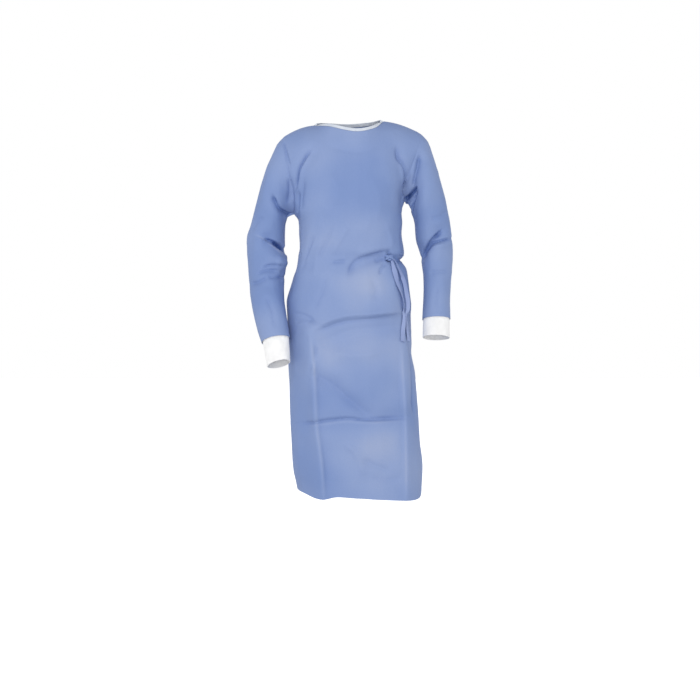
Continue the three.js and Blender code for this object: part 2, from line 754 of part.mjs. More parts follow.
function tieGeometry(table) {
  const stops = table.map((stop, i) => ({ ...stop, at: i / (table.length - 1) }));
  const at = curves(stops, "at");
  const stations = Array.from({ length: TIE.rows + 1 }, (_, i) => {
    const t = i / TIE.rows;
    const { point, normal } = onFront(at.x(t), at.z(t));
    return { centre: point.clone().addScaledVector(normal, TIE.lift + at.raise(t)), normal };
  });
  const rings = stations.map(({ centre, normal }, i) => {
    const before = stations[Math.max(0, i - 1)].centre;
    const after = stations[Math.min(TIE.rows, i + 1)].centre;
    const along = after.clone().sub(before).normalize();
    const side = along.clone().cross(normal).normalize();
    const out = side.clone().cross(along);
    const corner = (across, away) =>
      centre
        .clone()
        .addScaledVector(side, (across * TIE.wide) / 2)
        .addScaledVector(out, (away * TIE.thick) / 2);
    return [corner(-1, -1), corner(-1, 1), corner(1, 1), corner(1, -1)];
  });
  return sweptSolid(rings);
}
for (const [name, table] of Object.entries(TIE_ENDS)) addPiece(name, tieGeometry(table), GOWN_BLUE, 0.8);

export default gown;
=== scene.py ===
"""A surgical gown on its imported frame: creased nonwoven shells, knit cuffs, a bound neck and a tied belt.

Tables and grids are in millimetres, and each mesh is made in metres. +Z is up, the wearer faces -Y, and the
wearer's left hand is on +X.
"""
import math
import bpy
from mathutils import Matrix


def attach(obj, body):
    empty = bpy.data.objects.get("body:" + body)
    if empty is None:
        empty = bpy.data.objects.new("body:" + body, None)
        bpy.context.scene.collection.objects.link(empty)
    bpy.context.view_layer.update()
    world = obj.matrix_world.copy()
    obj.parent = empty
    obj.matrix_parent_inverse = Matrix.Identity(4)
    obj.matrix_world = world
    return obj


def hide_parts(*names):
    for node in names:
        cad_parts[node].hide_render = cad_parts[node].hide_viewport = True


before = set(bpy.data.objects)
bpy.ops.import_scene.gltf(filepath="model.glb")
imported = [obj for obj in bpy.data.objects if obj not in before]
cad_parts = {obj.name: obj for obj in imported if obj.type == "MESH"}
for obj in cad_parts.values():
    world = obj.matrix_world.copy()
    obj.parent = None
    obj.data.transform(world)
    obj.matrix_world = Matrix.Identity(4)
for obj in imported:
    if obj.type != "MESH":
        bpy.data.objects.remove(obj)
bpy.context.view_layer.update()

from types import SimpleNamespace

import bpy
import numpy as np
from mathutils import Vector
from mathutils.bvhtree import BVHTree

MM = 0.001

FRONT = -1
BACK = 1

# Camera and stage, in metres
CAMERA_AT = (-0.003, -4.2, -0.681)
LENS = 72
SENSOR = 36
FLOOR_Z = -1.596
FLOOR_REACH = 40
FLOOR_GLOW = 0.72
FLOOR_TONE = (0.9, 0.9, 0.9, 1)
WHITE = (1, 1, 1, 1)
# The strength of the sky, from straight down (0) to straight up (1)
SKY = [(0.0, 0.30), (0.38, 1.05), (0.54, 1.05), (1.0, 0.44)]
# Name, place, size and power of each lamp, and the point that they face
LAMPS = [("key", (-0.8, -2.2, 0.9), 0.4, 11), ("front", (-0.1, -3.2, -0.85), 0.8, 17)]
LAMPS_AT = (0, 0, -0.65)

# Finish of the gown's cloth: its palest tone, which the painted sheen reaches, the painted shade that
# darkens its creases, and its pressed points to a metre
PALEST = (0.400, 0.450, 0.600)
PAINTED_CREASE_SHADE = (0.22, 0.36, 0.62, 1)
BOND_SCALE = (760, 760, 1)

# Cloth, in millimetres: its thickness, how its seams draw in and sink, and the lift of the outer back panel
CLOTH = 0.8
SEAM_DRAW = 0.01
SEAM_DIP = 0.7
SEAM_WIDTH = 3.4
FLAP_LIFT = 1.9
INNER_STEP = 2  # rows and columns outside for each one inside
SHARP = 50  # the angle in degrees from which an edge is drawn sharp
# For each edge of a grid: its axis, the row on the edge and the row beside it
EDGES = {"first": (1, 0, 1), "last": (1, -1, -2), "bottom": (0, 0, 1), "top": (0, -1, -2)}

# Columns run across a half of the body, side seam to side seam; levels run from the hem (0) to the underarm
# (1) and on to the top edge (2).
COLUMNS = 26
SHOULDER_COLUMNS = 6
NECK_COLUMNS = COLUMNS - 2 * SHOULDER_COLUMNS
LAP_START = 10
LAP_END = 16
FLAP_EASE = (LAP_END + 0.5, LAP_END + 3)
COLUMN_STOPS = [0, SHOULDER_COLUMNS, LAP_START, LAP_END, COLUMNS - SHOULDER_COLUMNS, COLUMNS]
COLUMN_CELLS = [42, 28, 50, 28, 42]
COLUMN_SAMPLES = 4001
LOWER_CELLS = 306
UPPER_CELLS = 94
SLEEVE_CELLS = 230
HIP_Z = -650
SHOULDER_BOW = 7
CAP_SHARE = 0.3  # of the sleeve, which takes the armhole's shape over to its own
WRIST_CALM = (0.92, 0.985)  # of the sleeve, where its creases fade
# The levels where the smoothing of the chest sets in and fades out, and how often it runs
SOFT_RISE = (1, 1.2)
SOFT_FALL = (1.8, 2)
SOFT_PASSES = 80
# The size of the cells that match the points of a seam, and a shift that keeps points off their borders
SAME_POINT = 0.02
SAME_SHIFT = 0.137


def table(columns, *rows):
    """A table's columns by name."""
    return dict(zip(columns.split(), np.array(rows, float).T))


BODY = table(
    "z left right front back blunt",
    (-1130, -154, 208, 150, 128, 2.7),
    (-1095, -159, 210, 149, 128, 2.7),
    (-1023, -174, 213, 147, 127, 2.7),
    (-951, -180, 206, 145, 126, 2.65),
    (-861, -183, 201, 142, 126, 2.6),
    (-753, -186, 192, 139, 128, 2.55),
    (-681, -189, 184, 136, 132, 2.5),
    (-591, -192, 180, 131, 135, 2.4),
    (-530, -191, 177, 127, 131, 2.4),
    (-465, -175, 170, 118, 112, 2.35),
    (-438, -164, 164, 113, 101, 2.3),
    (-411, -159, 147, 108, 94, 2.3),
    (-392, -158, 158, 111, 95, 2.3),
    (-339, -156, 151, 118, 99, 2.3),
    (-300, -157, 152, 121, 103, 2.3),
    (-270, -172, 150, 121, 106, 2.3),
    (-236, -176, 159, 119, 107, 2.3),
    (-200, -176, 162, 116, 106, 2.3),
)
HEM = table(
    "angle z",
    (-180, -1092),
    (-150, -1101),
    (-119, -1115),
    (-104, -1108),
    (-80, -1115),
    (-40, -1120),
    (-15, -1115),
    (0, -1103),
    (90, -1105),
    (180, -1092),
)
NECK_TABLES = {
    FRONT: table(
        "share x y z",
        (0, -114, 12, -5),
        (0.26, -63, -47, -19),
        (0.45, -12, -69, -33),
        (0.55, 18, -73, -37),
        (0.66, 48, -67, -33),
        (0.79, 75, -42, -21),
        (1, 99, 12, 4),
    ),
    BACK: table(
        "share x y z",
        (0, 99, 12, 4),
        (0.24, 60, 62, 2),
        (0.5, -6, 76, -2),
        (0.76, -72, 62, -1),
        (1, -114, 12, -5),
    ),
}
# How the cloth leaves the underarm level and arrives at the shoulder, by the share of the way across.
PULL_COLUMNS = "share lowIn lowOut lowUp highIn highOut highUp"
PULL_TABLES = {
    FRONT: table(
        PULL_COLUMNS,
        (0, 16, 200, 90, -16, -228, 80),
        (0.04, 14, 175, 110, -12, -242, 76),
        (0.08, 12, 145, 135, -8, -256, 72),
        (0.15, 8, 95, 180, 0, -282, 66),
        (0.23, 4, 50, 215, 0, -311, 72),
        (0.27, 2, 38, 220, 0, -235, 90),
        (0.31, 0, 28, 225, 0, -179, 110),
        (0.385, 0, 14, 228, 0, -108, 160),
        (0.5, 0, 8, 225, 0, -63, 200),
        (0.615, 0, 14, 228, 0, -108, 160),
    ),
    BACK: table(
        PULL_COLUMNS,
        (0, 16, 215, 90, -16, -245, 80),
        (0.04, 14, 185, 110, -12, -246, 76),
        (0.08, 12, 155, 135, -8, -248, 72),
        (0.15, 8, 105, 180, 0, -254, 66),
        (0.23, 4, 60, 220, 0, -265, 80),
        (0.27, 2, 48, 228, 0, -198, 100),
        (0.31, 0, 38, 236, 0, -140, 125),
        (0.385, 0, 24, 250, 0, -78, 180),
        (0.5, 0, 15, 260, 0, -61, 230),
        (0.615, 0, 24, 250, 0, -78, 180),
    ),
}
SECTION_COLUMNS = "at outX outZ inX inZ y depth tilt"
RIGHT_ARM = {
    "side": -1,
    "shoulder": np.array([-206.0, 6, -44]),
    "neck": np.array([-114.0, 12, -5]),
    "underarm": -275,
    "sections": table(
        SECTION_COLUMNS,
        (0, -206, -44, -172, -275, 3, 66, 0),
        (0.05, -223, -66, -185, -278, 3, 67, 0),
        (0.18, -259, -147, -194, -292, 4, 70, 0),
        (0.42, -301, -297, -199, -318, 12, 60, -2),
        (0.505, -314, -348, -200, -354, 14, 58, 2),
        (0.62, -308, -423, -196, -420, 2, 56, 10),
        (0.8, -294, -540, -199, -530, -42, 52, 17),
        (0.93, -276, -621, -186, -606, -76, 47, 18),
        (1, -262, -660, -179, -646, -92, 43, 18),
    ),
    "cuff": {"outX": -243, "outZ": -729, "inX": -178, "inZ": -714, "y": -116, "depth": 35, "tilt": 18},
    "inset": 3.4,
}
LEFT_ARM = {
    "side": 1,
    "shoulder": np.array([213.0, 6, -36]),
    "neck": np.array([99.0, 12, 4]),
    "underarm": -236,
    "sections": table(
        SECTION_COLUMNS,
        (0, 213, -36, 159, -236, 3, 66, 0),
        (0.05, 229, -57, 171, -239, 3, 67, 0),
        (0.17, 256, -123, 177, -256, 4, 70, 0),
        (0.437, 292, -270, 192, -297, 10, 58, -2),
        (0.586, 304, -354, 197, -354, 13, 56, 0),
        (0.67, 306, -402, 210, -399, 10, 52, 5),
        (0.75, 303, -447, 215, -444, 4, 50, 9),
        (0.877, 297, -519, 216, -518, -10, 47, 11),
        (1, 296, -589, 213, -590, -24, 44, 11),
    ),
    "cuff": {"outX": 292, "outZ": -645, "inX": 214, "inZ": -643, "y": -36, "depth": 40, "tilt": 11},
    "inset": 2.7,
}

# The largest folds: X and Z of both ends, height (a trough under 0) and width
FRONT_FOLDS = [
    (-113, -641, -78, -1125, 10, 24),
    (-64, -980, -50, -1125, -3, 24),
    (155, -670, 161, -1127, 8, 22),
    (-114, -624, 112, -577, 5, 17),
    (-68, -661, 131, -614, -8, 20),
    (-105, -759, 43, -866, -6, 17),
    (-116, -898, 155, -877, -6, 16),
    (97, -397, 3, -438, -7, 15),
    (-110, -309, -147, -445, 5, 18),
    (-68, -437, -90, -563, 3, 20),
    (-119, -103, -163, -215, -8, 17),
    (136, -93, 160, -215, -8, 17),
    (-226, -237, -188, -282, -8, 15),
    (-247, -359, -198, -385, -12, 16),
    (-237, -411, -194, -425, 7, 16),
    (-229, -449, -197, -459, -9, 15),
    (-285, -484, -203, -493, -5, 16),
    (200, -119, 172, -232, -10, 15),
    (205, -196, 180, -273, -7, 15),
    (264, -332, 212, -403, -10, 15),
    (287, -353, 220, -411, 5, 16),
]
BACK_FOLDS = [
    (-95, -110, -150, -215, -8, 20),
    (100, -105, 140, -200, -8, 20),
    (-60, -390, -140, -450, -8, 18),
    (120, -440, 40, -490, -7, 18),
    (-110, -560, -96, -1110, 10, 28),
    (118, -560, 130, -1110, 10, 28),
    (-40, -640, -20, -1110, -8, 28),
    (-225, -225, -188, -280, -7, 17),
    (-300, -372, -230, -402, -8, 17),
    (-290, -440, -220, -462, -6, 17),
    (215, -200, 180, -262, -7, 17),
    (290, -370, 225, -400, -8, 17),
    (285, -440, 230, -456, -5, 17),
]

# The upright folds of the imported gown, where they are seen: X and Z of the points that they pass
LEFT_PACKING = [-123, -640, -111, -728, -106, -846, -102, -920, -88, -1024, -80, -1150]
RIGHT_PACKING = [152, -660, 155, -756, 160, -846, 163, -906, 166, -1150]

# Creases, drawn where they are seen: height (a trough under 0), the width of the left flank and of the right
# flank along the way it runs, and X and Z of the points that it passes
FRONT_CREASES = [
    # skirt: the two long packing folds and the valley beside the first
    (6.4, 7, 26, *LEFT_PACKING),
    (4.6, 20, 5, *RIGHT_PACKING),
    (-6.5, 4, 4, 170, -640, 181, -690, 184, -760, 187, -880),
    # skirt: the crest under the belly and the hollow below it
    (5.0, 40, 9, -130, -620, -96, -606, -48, -588, -3, -579, 60, -575, 158, -565),
    (-2.4, 18, 26, -80, -652, -30, -630, 30, -616, 130, -610),
    (-1.8, 8, 5, -168, -598, -140, -590, -108, -596),
    (-4.6, 4, 24, -110, -628, -76, -612, -48, -600, -3, -590, 60, -585, 156, -573),
    (-1.6, 4, 6, -176, -570, -134, -578, -100, -604, -76, -616),
    # skirt: the slanting fold and the level packing fold that it runs into
    (-4.2, 24, 12, -118, -746, -88, -766, -48, -791, -3, -831, 27, -856, 60, -874),
    (-3.0, 5, 3, -172, -902, -120, -900, -60, -892, -9, -887, 51, -891, 172, -885),
    (-2.2, 30, 8, 10, -872, 80, -885, 172, -880),
    (-2.8, 10, 16, 34, -1006, 78, -1030, 122, -1044),
    (-2.6, 16, 10, 60, -1062, 106, -1072, 156, -1064),
    (3.0, 12, 9, -20, -960, 20, -1000, 40, -1060),
    (-2.4, 4, 6, -104, -660, -107, -690, -114, -726, -122, -750),
    (3.0, 14, 20, -60, -690, 10, -700, 90, -690),
    # waist: what the knot draws in
    (-3.4, 4, 16, -8, -458, -1, -434, 12, -416, 36, -404, 76, -392, 112, -382),
    (2.2, 10, 20, 18, -396, 54, -383, 100, -373, 126, -378),
    (-2.4, 3, 6, -58, -417, -38, -414, -12, -413),
    (-3.6, 5, 5, 108, -380, 112, -396, 110, -416),
    (-3.4, 5, 6, 120, -404, 134, -414, 152, -408),
    (-3.0, 5, 5, 106, -420, 92, -434, 86, -456),
    (-3.0, 5, 5, 126, -430, 142, -448, 150, -486),
    (-2.4, 6, 6, 102, -404, 86, -406, 70, -416),
    (-2.6, 7, 9, -112, -336, -128, -384, -150, -440),
    (2.2, 10, 10, -92, -350, -104, -400, -112, -462),
    (-2.0, 8, 8, -74, -446, -84, -500, -112, -560),
    (-1.8, 9, 9, 60, -468, 76, -500, 70, -536),
    (1.6, 5, 9, -86, -282, -100, -330, -124, -392, -150, -430),
    (-1.4, 4, 8, -50, -300, -70, -350, -104, -420),
    (1.3, 5, 10, -6, -310, -36, -360, -58, -398),
    (1.4, 9, 5, 104, -300, 118, -340, 122, -376),
    # chest: from the neck and shoulders to the armholes
    (-5.6, 2, 12, -118, -80, -138, -108, -154, -138, -159, -166, -167, -204),
    (-6.0, 3, 5, -158, -206, -161, -244, -158, -296),
    (-2.4, 6, 6, -140, -170, -148, -214, -150, -262),
    (-4.8, 10, 5, 136, -70, 139, -104, 158, -128, 165, -158, 162, -184, 156, -222),
    (-2.8, 6, 6, 162, -204, 152, -230, 149, -262),
    (-1.0, 16, 12, -84, -62, -30, -80, 30, -86, 84, -68),
    (1.8, 16, 20, -64, -150, -40, -196, -44, -250),
    (1.6, 20, 16, 60, -160, 84, -230, 76, -300),
    (-2.6, 3, 4, -204, -50, -194, -90, -183, -130),
    # wearer's right sleeve
    (-4.4, 3, 9, -238, -216, -226, -234, -213, -256, -182, -277),
    (-2.8, 6, 6, -187, -164, -183, -200, -187, -240),
    (-4.6, 3, 14, -270, -349, -248, -352, -228, -360, -206, -376, -184, -394),
    (-6.4, 5, 8, -238, -357, -212, -372, -176, -398),
    (5.0, 7, 26, -292, -340, -262, -354, -234, -371, -205, -393, -182, -406),
    (2.6, 13, 15, -226, -416, -200, -420, -172, -424),
    (-2.6, 3, 6, -250, -459, -230, -463, -208, -462, -184, -460),
    (-3.0, 2, 7, -268, -434, -249, -427, -226, -426, -204, -430),
    (-3.2, 2, 7, -284, -455, -268, -445, -249, -440, -214, -442),
    (-3.0, 3, 8, -300, -481, -282, -478, -266, -470, -250, -461),
    (-2.0, 8, 8, -258, -516, -238, -560, -228, -620),
    (-2.2, 7, 10, -300, -330, -286, -300, -262, -280),
    (1.8, 12, 12, -240, -110, -252, -170, -268, -240),
    # wearer's left sleeve
    (-3.4, 8, 5, 206, -92, 199, -132, 190, -170, 184, -202),
    (-8.0, 4, 4, 197, -190, 187, -206, 177, -218, 162, -231),
    (-4.6, 3, 5, 201, -200, 194, -220, 186, -246, 184, -270),
    (-6.6, 3, 9, 208, -416, 216, -396, 228, -370, 247, -346, 274, -320),
    (-5.0, 3, 9, 220, -392, 242, -361, 267, -351, 308, -345),
    (2.8, 8, 8, 222, -398, 244, -373, 286, -363),
    (-2.4, 6, 8, 234, -450, 262, -446, 296, -446),
    (-2.0, 8, 8, 264, -486, 256, -530, 258, -580),
    (-2.0, 9, 9, 286, -262, 270, -280, 236, -290),
]
BACK_CREASES = [
    # back: the packing folds, the pull to the belt and the shoulder blades
    (5.6, 26, 8, -112, -560, -104, -820, -96, -1140),
    (5.0, 8, 26, 118, -560, 126, -800, 132, -1140),
    (-2.8, 8, 20, -166, -622, -90, -600, -20, -590, 44, -594, 96, -606),
    (2.8, 5, 18, -170, -894, -70, -886, 20, -890, 110, -884, 172, -890),
    (-4.2, 5, 14, -56, -396, -104, -424, -150, -448),
    (-3.8, 5, 14, 134, -428, 84, -462, 32, -492),
    (-2.8, 6, 8, 144, -398, 96, -404, 52, -420),
    (-4.2, 5, 9, -92, -98, -126, -150, -154, -224),
    (-3.2, 9, 5, 108, -118, 126, -152, 138, -196),
    (-4.2, 5, 10, -240, -214, -212, -254, -182, -284),
    (-4.2, 5, 10, 224, -186, 200, -226, 174, -266),
    (-5.0, 4, 12, -308, -368, -264, -384, -222, -406),
    (-3.6, 4, 9, -298, -434, -256, -452, -212, -465),
    (-5.0, 4, 12, 298, -364, 258, -382, 216, -404),
    (-3.2, 4, 9, 292, -434, 258, -450, 222, -459),
    (-2.2, 12, 12, -30, -180, -10, -260, -24, -340),
    (-2.6, 5, 8, -128, -300, -150, -350, -160, -400),
    (-2.2, 6, 9, 60, -330, 84, -372, 128, -404),
    (2.4, 10, 14, -70, -420, -86, -500, -104, -556),
    (-2.4, 8, 12, 30, -500, 52, -560, 84, -640),
    (-2.0, 10, 8, -56, -700, -30, -760, -24, -850),
    (-2.6, 10, 14, 60, -960, 20, -1010, -40, -1040),
]

# How they are drawn: the rounding of their lines, the reach of their flanks, and how far the cloth has to
# face their side (-1 to 1) where they start and where they are full
FOLD_ROUND = 10.0
FOLD_FULL = 0.45
CREASE_ROUND = 1.2
CREASE_DEPTH = 1.75
CREASE_WRAP = -0.5
CREASE_FULL = 0.1
CREASE_STEPS = 14
CREASE_TAPER = (-0.06, 0.22)
FLANK = 2.2
EVEN_WEIGHT = 4

# Painted sheen: paler clouds where the light's haze falls on the cloth that faces front or back: side,
# middle, half its width and half its height, and strength
SHEEN_PATCHES = [
    (FRONT, (56, -500), (84, 66), 0.24),
    (FRONT, (-70, -470), (60, 120), 0.10),
    (FRONT, (44, -680), (120, 80), 0.24),
    (FRONT, (-60, -700), (50, 60), 0.12),
    (FRONT, (40, -316), (64, 46), 0.12),
    (FRONT, (60, -820), (80, 60), 0.08),
    (FRONT, (70, -970), (90, 80), 0.16),
    (FRONT, (10, -1080), (110, 60), 0.08),
    (BACK, (-60, -520), (90, 70), 0.10),
    (BACK, (70, -700), (100, 90), 0.10),
    (BACK, (-30, -940), (110, 80), 0.09),
    (BACK, (20, -250), (90, 60), 0.06),
]

# Painted highlights, paler lines where the folds catch the light: side, strength, half width, and X and Z of
# the points that it passes
HIGHLIGHT_LINES = [
    (FRONT, 0.15, 5.0, *LEFT_PACKING),
    (FRONT, 0.10, 4.4, *RIGHT_PACKING),
    (FRONT, 0.11, 4.6, -120, -908, -60, -900, -9, -895, 51, -899, 160, -893),
    (FRONT, 0.26, 3.4, -288, -334, -264, -347, -240, -364, -214, -386, -196, -394),
    (BACK, 0.06, 4.6, -112, -560, -104, -820, -96, -1140),
    (BACK, 0.05, 4.6, 118, -560, 126, -800, 132, -1140),
]
# How far the cloth must face its side for the full painted sheen
SHEEN_FULL = 0.4
# How far beside its line a painted highlight reaches, in half widths
HIGHLIGHT_REACH = 3

# Unevenness of the cloth: wavelength across, wavelength up, height, and whether it breaks into ridges
UNEVEN = [(150, 230, 2.6, False), (84, 120, 1.5, True), (36, 60, 0.6, True)]
RIDGE_LEVEL = 0.6
NOISE_SEED = 41
# Large odd numbers that scramble the points of its lattice
HASH_AXES = np.array([374761393, 668265263, 2147483647])
HASH_MIX = 1274126177

# How ragged the paler clouds are, on a lattice that is turned away from the axes
RAGGED = 0.3
RAGGED_SIZE = (90, 90, 80)
RAGGED_SEED = NOISE_SEED + 7
RAGGED_TURN = np.array([[0.82, 0.1, 0.56], [-0.1, 0.99, -0.03], [-0.56, -0.03, 0.83]])

# The smaller pieces
BINDING = SimpleNamespace(
    base=0.2, height=10, half=1.25, shell=0.5, ridge_points=9, flat_points=6, lap=3.2, ease=2, passes=4,
    stitch_up=2.2,
)
BINDING_PUCKER = [(0.14, 1.9, 0), (0.1, 0.83, 1)]  # size, pace and start of each wave
STITCH = SimpleNamespace(pitch=3.2, length=2.3, thick=0.2, sides=6)
STITCH_RINGS = [(-0.5, 0.25), (-0.38, 0.8), (0, 1), (0.38, 0.8), (0.5, 0.25)]  # share of the length, swell
CUFF = SimpleNamespace(
    ribs=62, per_rib=5, rows=44, rib=0.75, rib_power=1.5, wall=1.5, tuck=8, course=2.3, loop=0.1, edge=0.5,
    edge_width=2.5, sharp=70,
)
CUFF_WAVER = [(0.6, 3, 2), (0.4, 5, -3)]  # height, turns and drift of each wave
BELT = SimpleNamespace(
    level_low=0.788, level_high=0.816, start=20, end=12, out=1.3, thick=1.0, climb=4, climbed=0.5, rows=9,
    front_points=90, back_points=130, cup=0.25, rise=0.3, ripple=0.6, pace=0.35,
)
KNOT = SimpleNamespace(half_wide=11.5, half_deep=7, half_high=12.5, gap=0.9, level=0.802)
LUMP = SimpleNamespace(
    rows=40, around=64, pole=0.06, wide=0.86, deep=0.8, high=0.9, pleat=0.07, pleats=3.5, twist=2.2
)
WRAP = SimpleNamespace(
    stations=48, deep=0.82, deeper=0.12, slope=0.8, bend=1.5, waist=0.14, thick=1.6, cup=1.2
)
WRAPS = [(0.5, 10.5, 1.0, -0.15, 1.15), (-0.75, 9.0, 1.1, 0.0, 1.0)]  # lean, width, reach, start, end
RIBBON = SimpleNamespace(points=9, round=0.55, power=8)
TIE = SimpleNamespace(wide=15, thick=1.0, lift=2.6, stations=90, passes=12, cup=0.9)
BEFORE = 400  # how far before the gown the search for its front starts
TIE_COLUMNS = "x z raise roll wide"
TIE_TABLES = {
    "tie_end_inner": table(
        TIE_COLUMNS,
        (116, -420, 5.5, 20, 6),
        (121, -440, 3.0, 20, 12),
        (128, -460, 1.4, 10, 16),
        (137, -490, 0.6, -8, 16),
        (146, -516, 0.4, -22, 14),
        (151, -552, 0.8, -38, 12),
        (152, -584, 1.6, 30, 10),
        (151, -620, 0.4, 12, 14),
        (150, -657, 0.2, -6, 15),
    ),
    "tie_end_outer": table(
        TIE_COLUMNS,
        (120, -420, 8.4, -16, 6),
        (139, -447, 6.2, -30, 11),
        (150, -472, 4.4, 4, 14),
        (157, -512, 3.4, 24, 14),
        (159, -556, 4.6, 52, 11),
        (157, -586, 5.0, -26, 10),
        (162, -618, 3.2, -8, 14),
        (166, -654, 2.8, 8, 15),
    ),
}


def smooth_step(low, high, x):
    t = np.clip((x - low) / (high - low), 0, 1)
    return t * t * (3 - 2 * t)


def curve(stops, key, column):
    """A smooth curve through one column of a table, read at any value of its key column."""
    at, value = stops[key], stops[column]
    before = np.maximum(np.arange(len(at)) - 1, 0)
    after = np.minimum(np.arange(len(at)) + 1, len(at) - 1)
    slope = (value[after] - value[before]) / (at[after] - at[before])

    def read(x):
        x = np.clip(x, at[0], at[-1])
        i = np.clip(np.searchsorted(at, x) - 1, 0, len(at) - 2)
        span = at[i + 1] - at[i]
        t = (x - at[i]) / span
        rise = (value[i + 1] - value[i]) * t * t * (3 - 2 * t)
        return value[i] + rise + span * t * (1 - t) * (slope[i] * (1 - t) - slope[i + 1] * t)

    return read


def curves(stops, key):
    return {name: curve(stops, key, name) for name in stops if name != key}


BODY_AT = curves(BODY, "z")
HEM_AT = curve(HEM, "angle", "z")
NECK_AT = {half: curves(NECK_TABLES[half], "share") for half in (FRONT, BACK)}
PULL_AT = {half: curves(PULL_TABLES[half], "share") for half in (FRONT, BACK)}


def unit(vectors):
    return vectors / np.maximum(np.linalg.norm(vectors, axis=-1, keepdims=True), 1e-9)


def xyz(x, y, z):
    return np.stack(np.broadcast_arrays(x, y, z), -1).astype(float)


def run_along(points):
    """How far along a line each of its points lies."""
    return np.concatenate([[0], np.cumsum(np.linalg.norm(np.diff(points, axis=0), axis=1))])


def blurred(values, weight=2):
    """Values along a line, each mixed with its two neighbours. The ends stay."""
    mixed = values.copy()
    mixed[1:-1] = (values[:-2] + weight * values[1:-1] + values[2:]) / (weight + 2)
    return mixed


def column_angle(half, column):
    turn = 180 * column / COLUMNS
    return turn - 180 if half == FRONT else turn


def body_point(angle, z):
    c, s = np.cos(np.radians(angle)), np.sin(np.radians(angle))
    power = 2 / BODY_AT["blunt"](z)
    left, right = BODY_AT["left"](z), BODY_AT["right"](z)
    reach = np.where(s < 0, BODY_AT["front"](z), BODY_AT["back"](z))
    x = (left + right) / 2 + (right - left) / 2 * np.sign(c) * np.abs(c) ** power
    return xyz(x, np.sign(s) * reach * np.abs(s) ** power, z)


def lower_z(angle, share):
    across = (1 + np.cos(np.radians(angle))) / 2
    underarm = RIGHT_ARM["underarm"] + (LEFT_ARM["underarm"] - RIGHT_ARM["underarm"]) * across
    return HEM_AT(angle) + (underarm - HEM_AT(angle)) * share


def shoulder_point(arm, share):
    share = np.clip(share, 0, 1)[..., None]
    bow = np.array([0, 0, SHOULDER_BOW]) * 4 * share * (1 - share)
    return arm["shoulder"] + (arm["neck"] - arm["shoulder"]) * share + bow


def top_point(half, column):
    first, second = (RIGHT_ARM, LEFT_ARM) if half == FRONT else (LEFT_ARM, RIGHT_ARM)
    left = COLUMNS - column
    share = (column - SHOULDER_COLUMNS) / NECK_COLUMNS
    neck = xyz(*(NECK_AT[half][axis](share) for axis in "xyz"))
    starts = (column <= SHOULDER_COLUMNS)[..., None]
    ends = (left <= SHOULDER_COLUMNS)[..., None]
    point = np.where(starts, shoulder_point(first, column / SHOULDER_COLUMNS), neck)
    return np.where(ends, shoulder_point(second, left / SHOULDER_COLUMNS), point)


def upper_point(half, column, share):
    angle = column_angle(half, column)
    low, high = body_point(angle, lower_z(angle, 1.0)), top_point(half, column)
    across = column / COLUMNS
    near = np.minimum(across, 1 - across)
    inwards = np.where(across < 0.5, 1, -1) * -half
    pull = {name: at(near) for name, at in PULL_AT[half].items()}
    low_pull = xyz(inwards * pull["lowIn"], half * pull["lowOut"], pull["lowUp"])
    high_pull = xyz(inwards * pull["highIn"], half * pull["highOut"], pull["highUp"])
    t = share[..., None]
    rest = 1 - t
    ends = low * rest * rest * (1 + 2 * t) + high * t * t * (3 - 2 * t)
    return ends + low_pull * t * rest * rest - high_pull * t * t * rest


def half_point(half, column, level):
    column, level = np.broadcast_arrays(np.asarray(column, float), np.asarray(level, float))
    angle = column_angle(half, column)
    lower = body_point(angle, lower_z(angle, np.minimum(level, 1)))
    upper = upper_point(half, column, np.clip(level - 1, 0, 1))
    return np.where((level > 1)[..., None], upper, lower)


def armhole_point(arm, share):
    """The armhole seam: share 0 is the shoulder, 0.5 the underarm, by way of the front."""
    right = arm["side"] < 0
    front = half_point(FRONT, 0 if right else COLUMNS, 2 - 2 * np.minimum(share, 0.5))
    back = half_point(BACK, COLUMNS if right else 0, 2 * np.maximum(share, 0.5))
    return np.where((share <= 0.5)[..., None], front, back)


def oval_point(section, turn, shrink=0):
    """An oval across an arm: turn 0 is its outer point, and a quarter turn its front."""
    outer, inner = (xyz(section[end + "X"], section["y"], section[end + "Z"]) for end in ("out", "in"))
    across = outer - inner
    middle = (outer + inner) / 2
    tilt = np.radians(section["tilt"])
    forward = xyz(0, -np.cos(tilt), np.sin(tilt))
    half = np.linalg.norm(across, axis=-1, keepdims=True) / 2 - np.asarray(shrink)[..., None]
    deep = np.asarray(section["depth"] - shrink, float)[..., None]
    return middle + unit(across) * half * np.cos(turn)[..., None] + forward * deep * np.sin(turn)[..., None]


def sleeve_point(arm, turn_share, share):
    section = {name: at(share) for name, at in curves(arm["sections"], "at").items()}
    seam = {name: values[0] for name, values in arm["sections"].items()}
    turn = 2 * np.pi * turn_share
    off_seam = armhole_point(arm, turn_share) - oval_point(seam, turn)
    return oval_point(section, turn) + off_seam * (1 - smooth_step(0, CAP_SHARE, share))[..., None]


def column_run():
    """Columns spaced evenly along the cloth at the hip, with one at each stop."""
    column = np.linspace(0, COLUMNS, COLUMN_SAMPLES)
    run = run_along(body_point(column_angle(FRONT, column), HIP_Z))
    stops = np.interp(COLUMN_STOPS, column, run)
    even = [np.linspace(a, b, n, endpoint=False) for a, b, n in zip(stops, stops[1:], COLUMN_CELLS)]
    return np.interp(np.concatenate([*even, stops[-1:]]), run, column)


RUN = column_run()
LEVELS = np.concatenate([np.linspace(0, 1, LOWER_CELLS + 1), np.linspace(1, 2, UPPER_CELLS + 1)[1:]])
AROUND = 2 * UPPER_CELLS
SLEEVE_SHARES = np.linspace(0, 1, SLEEVE_CELLS + 1)


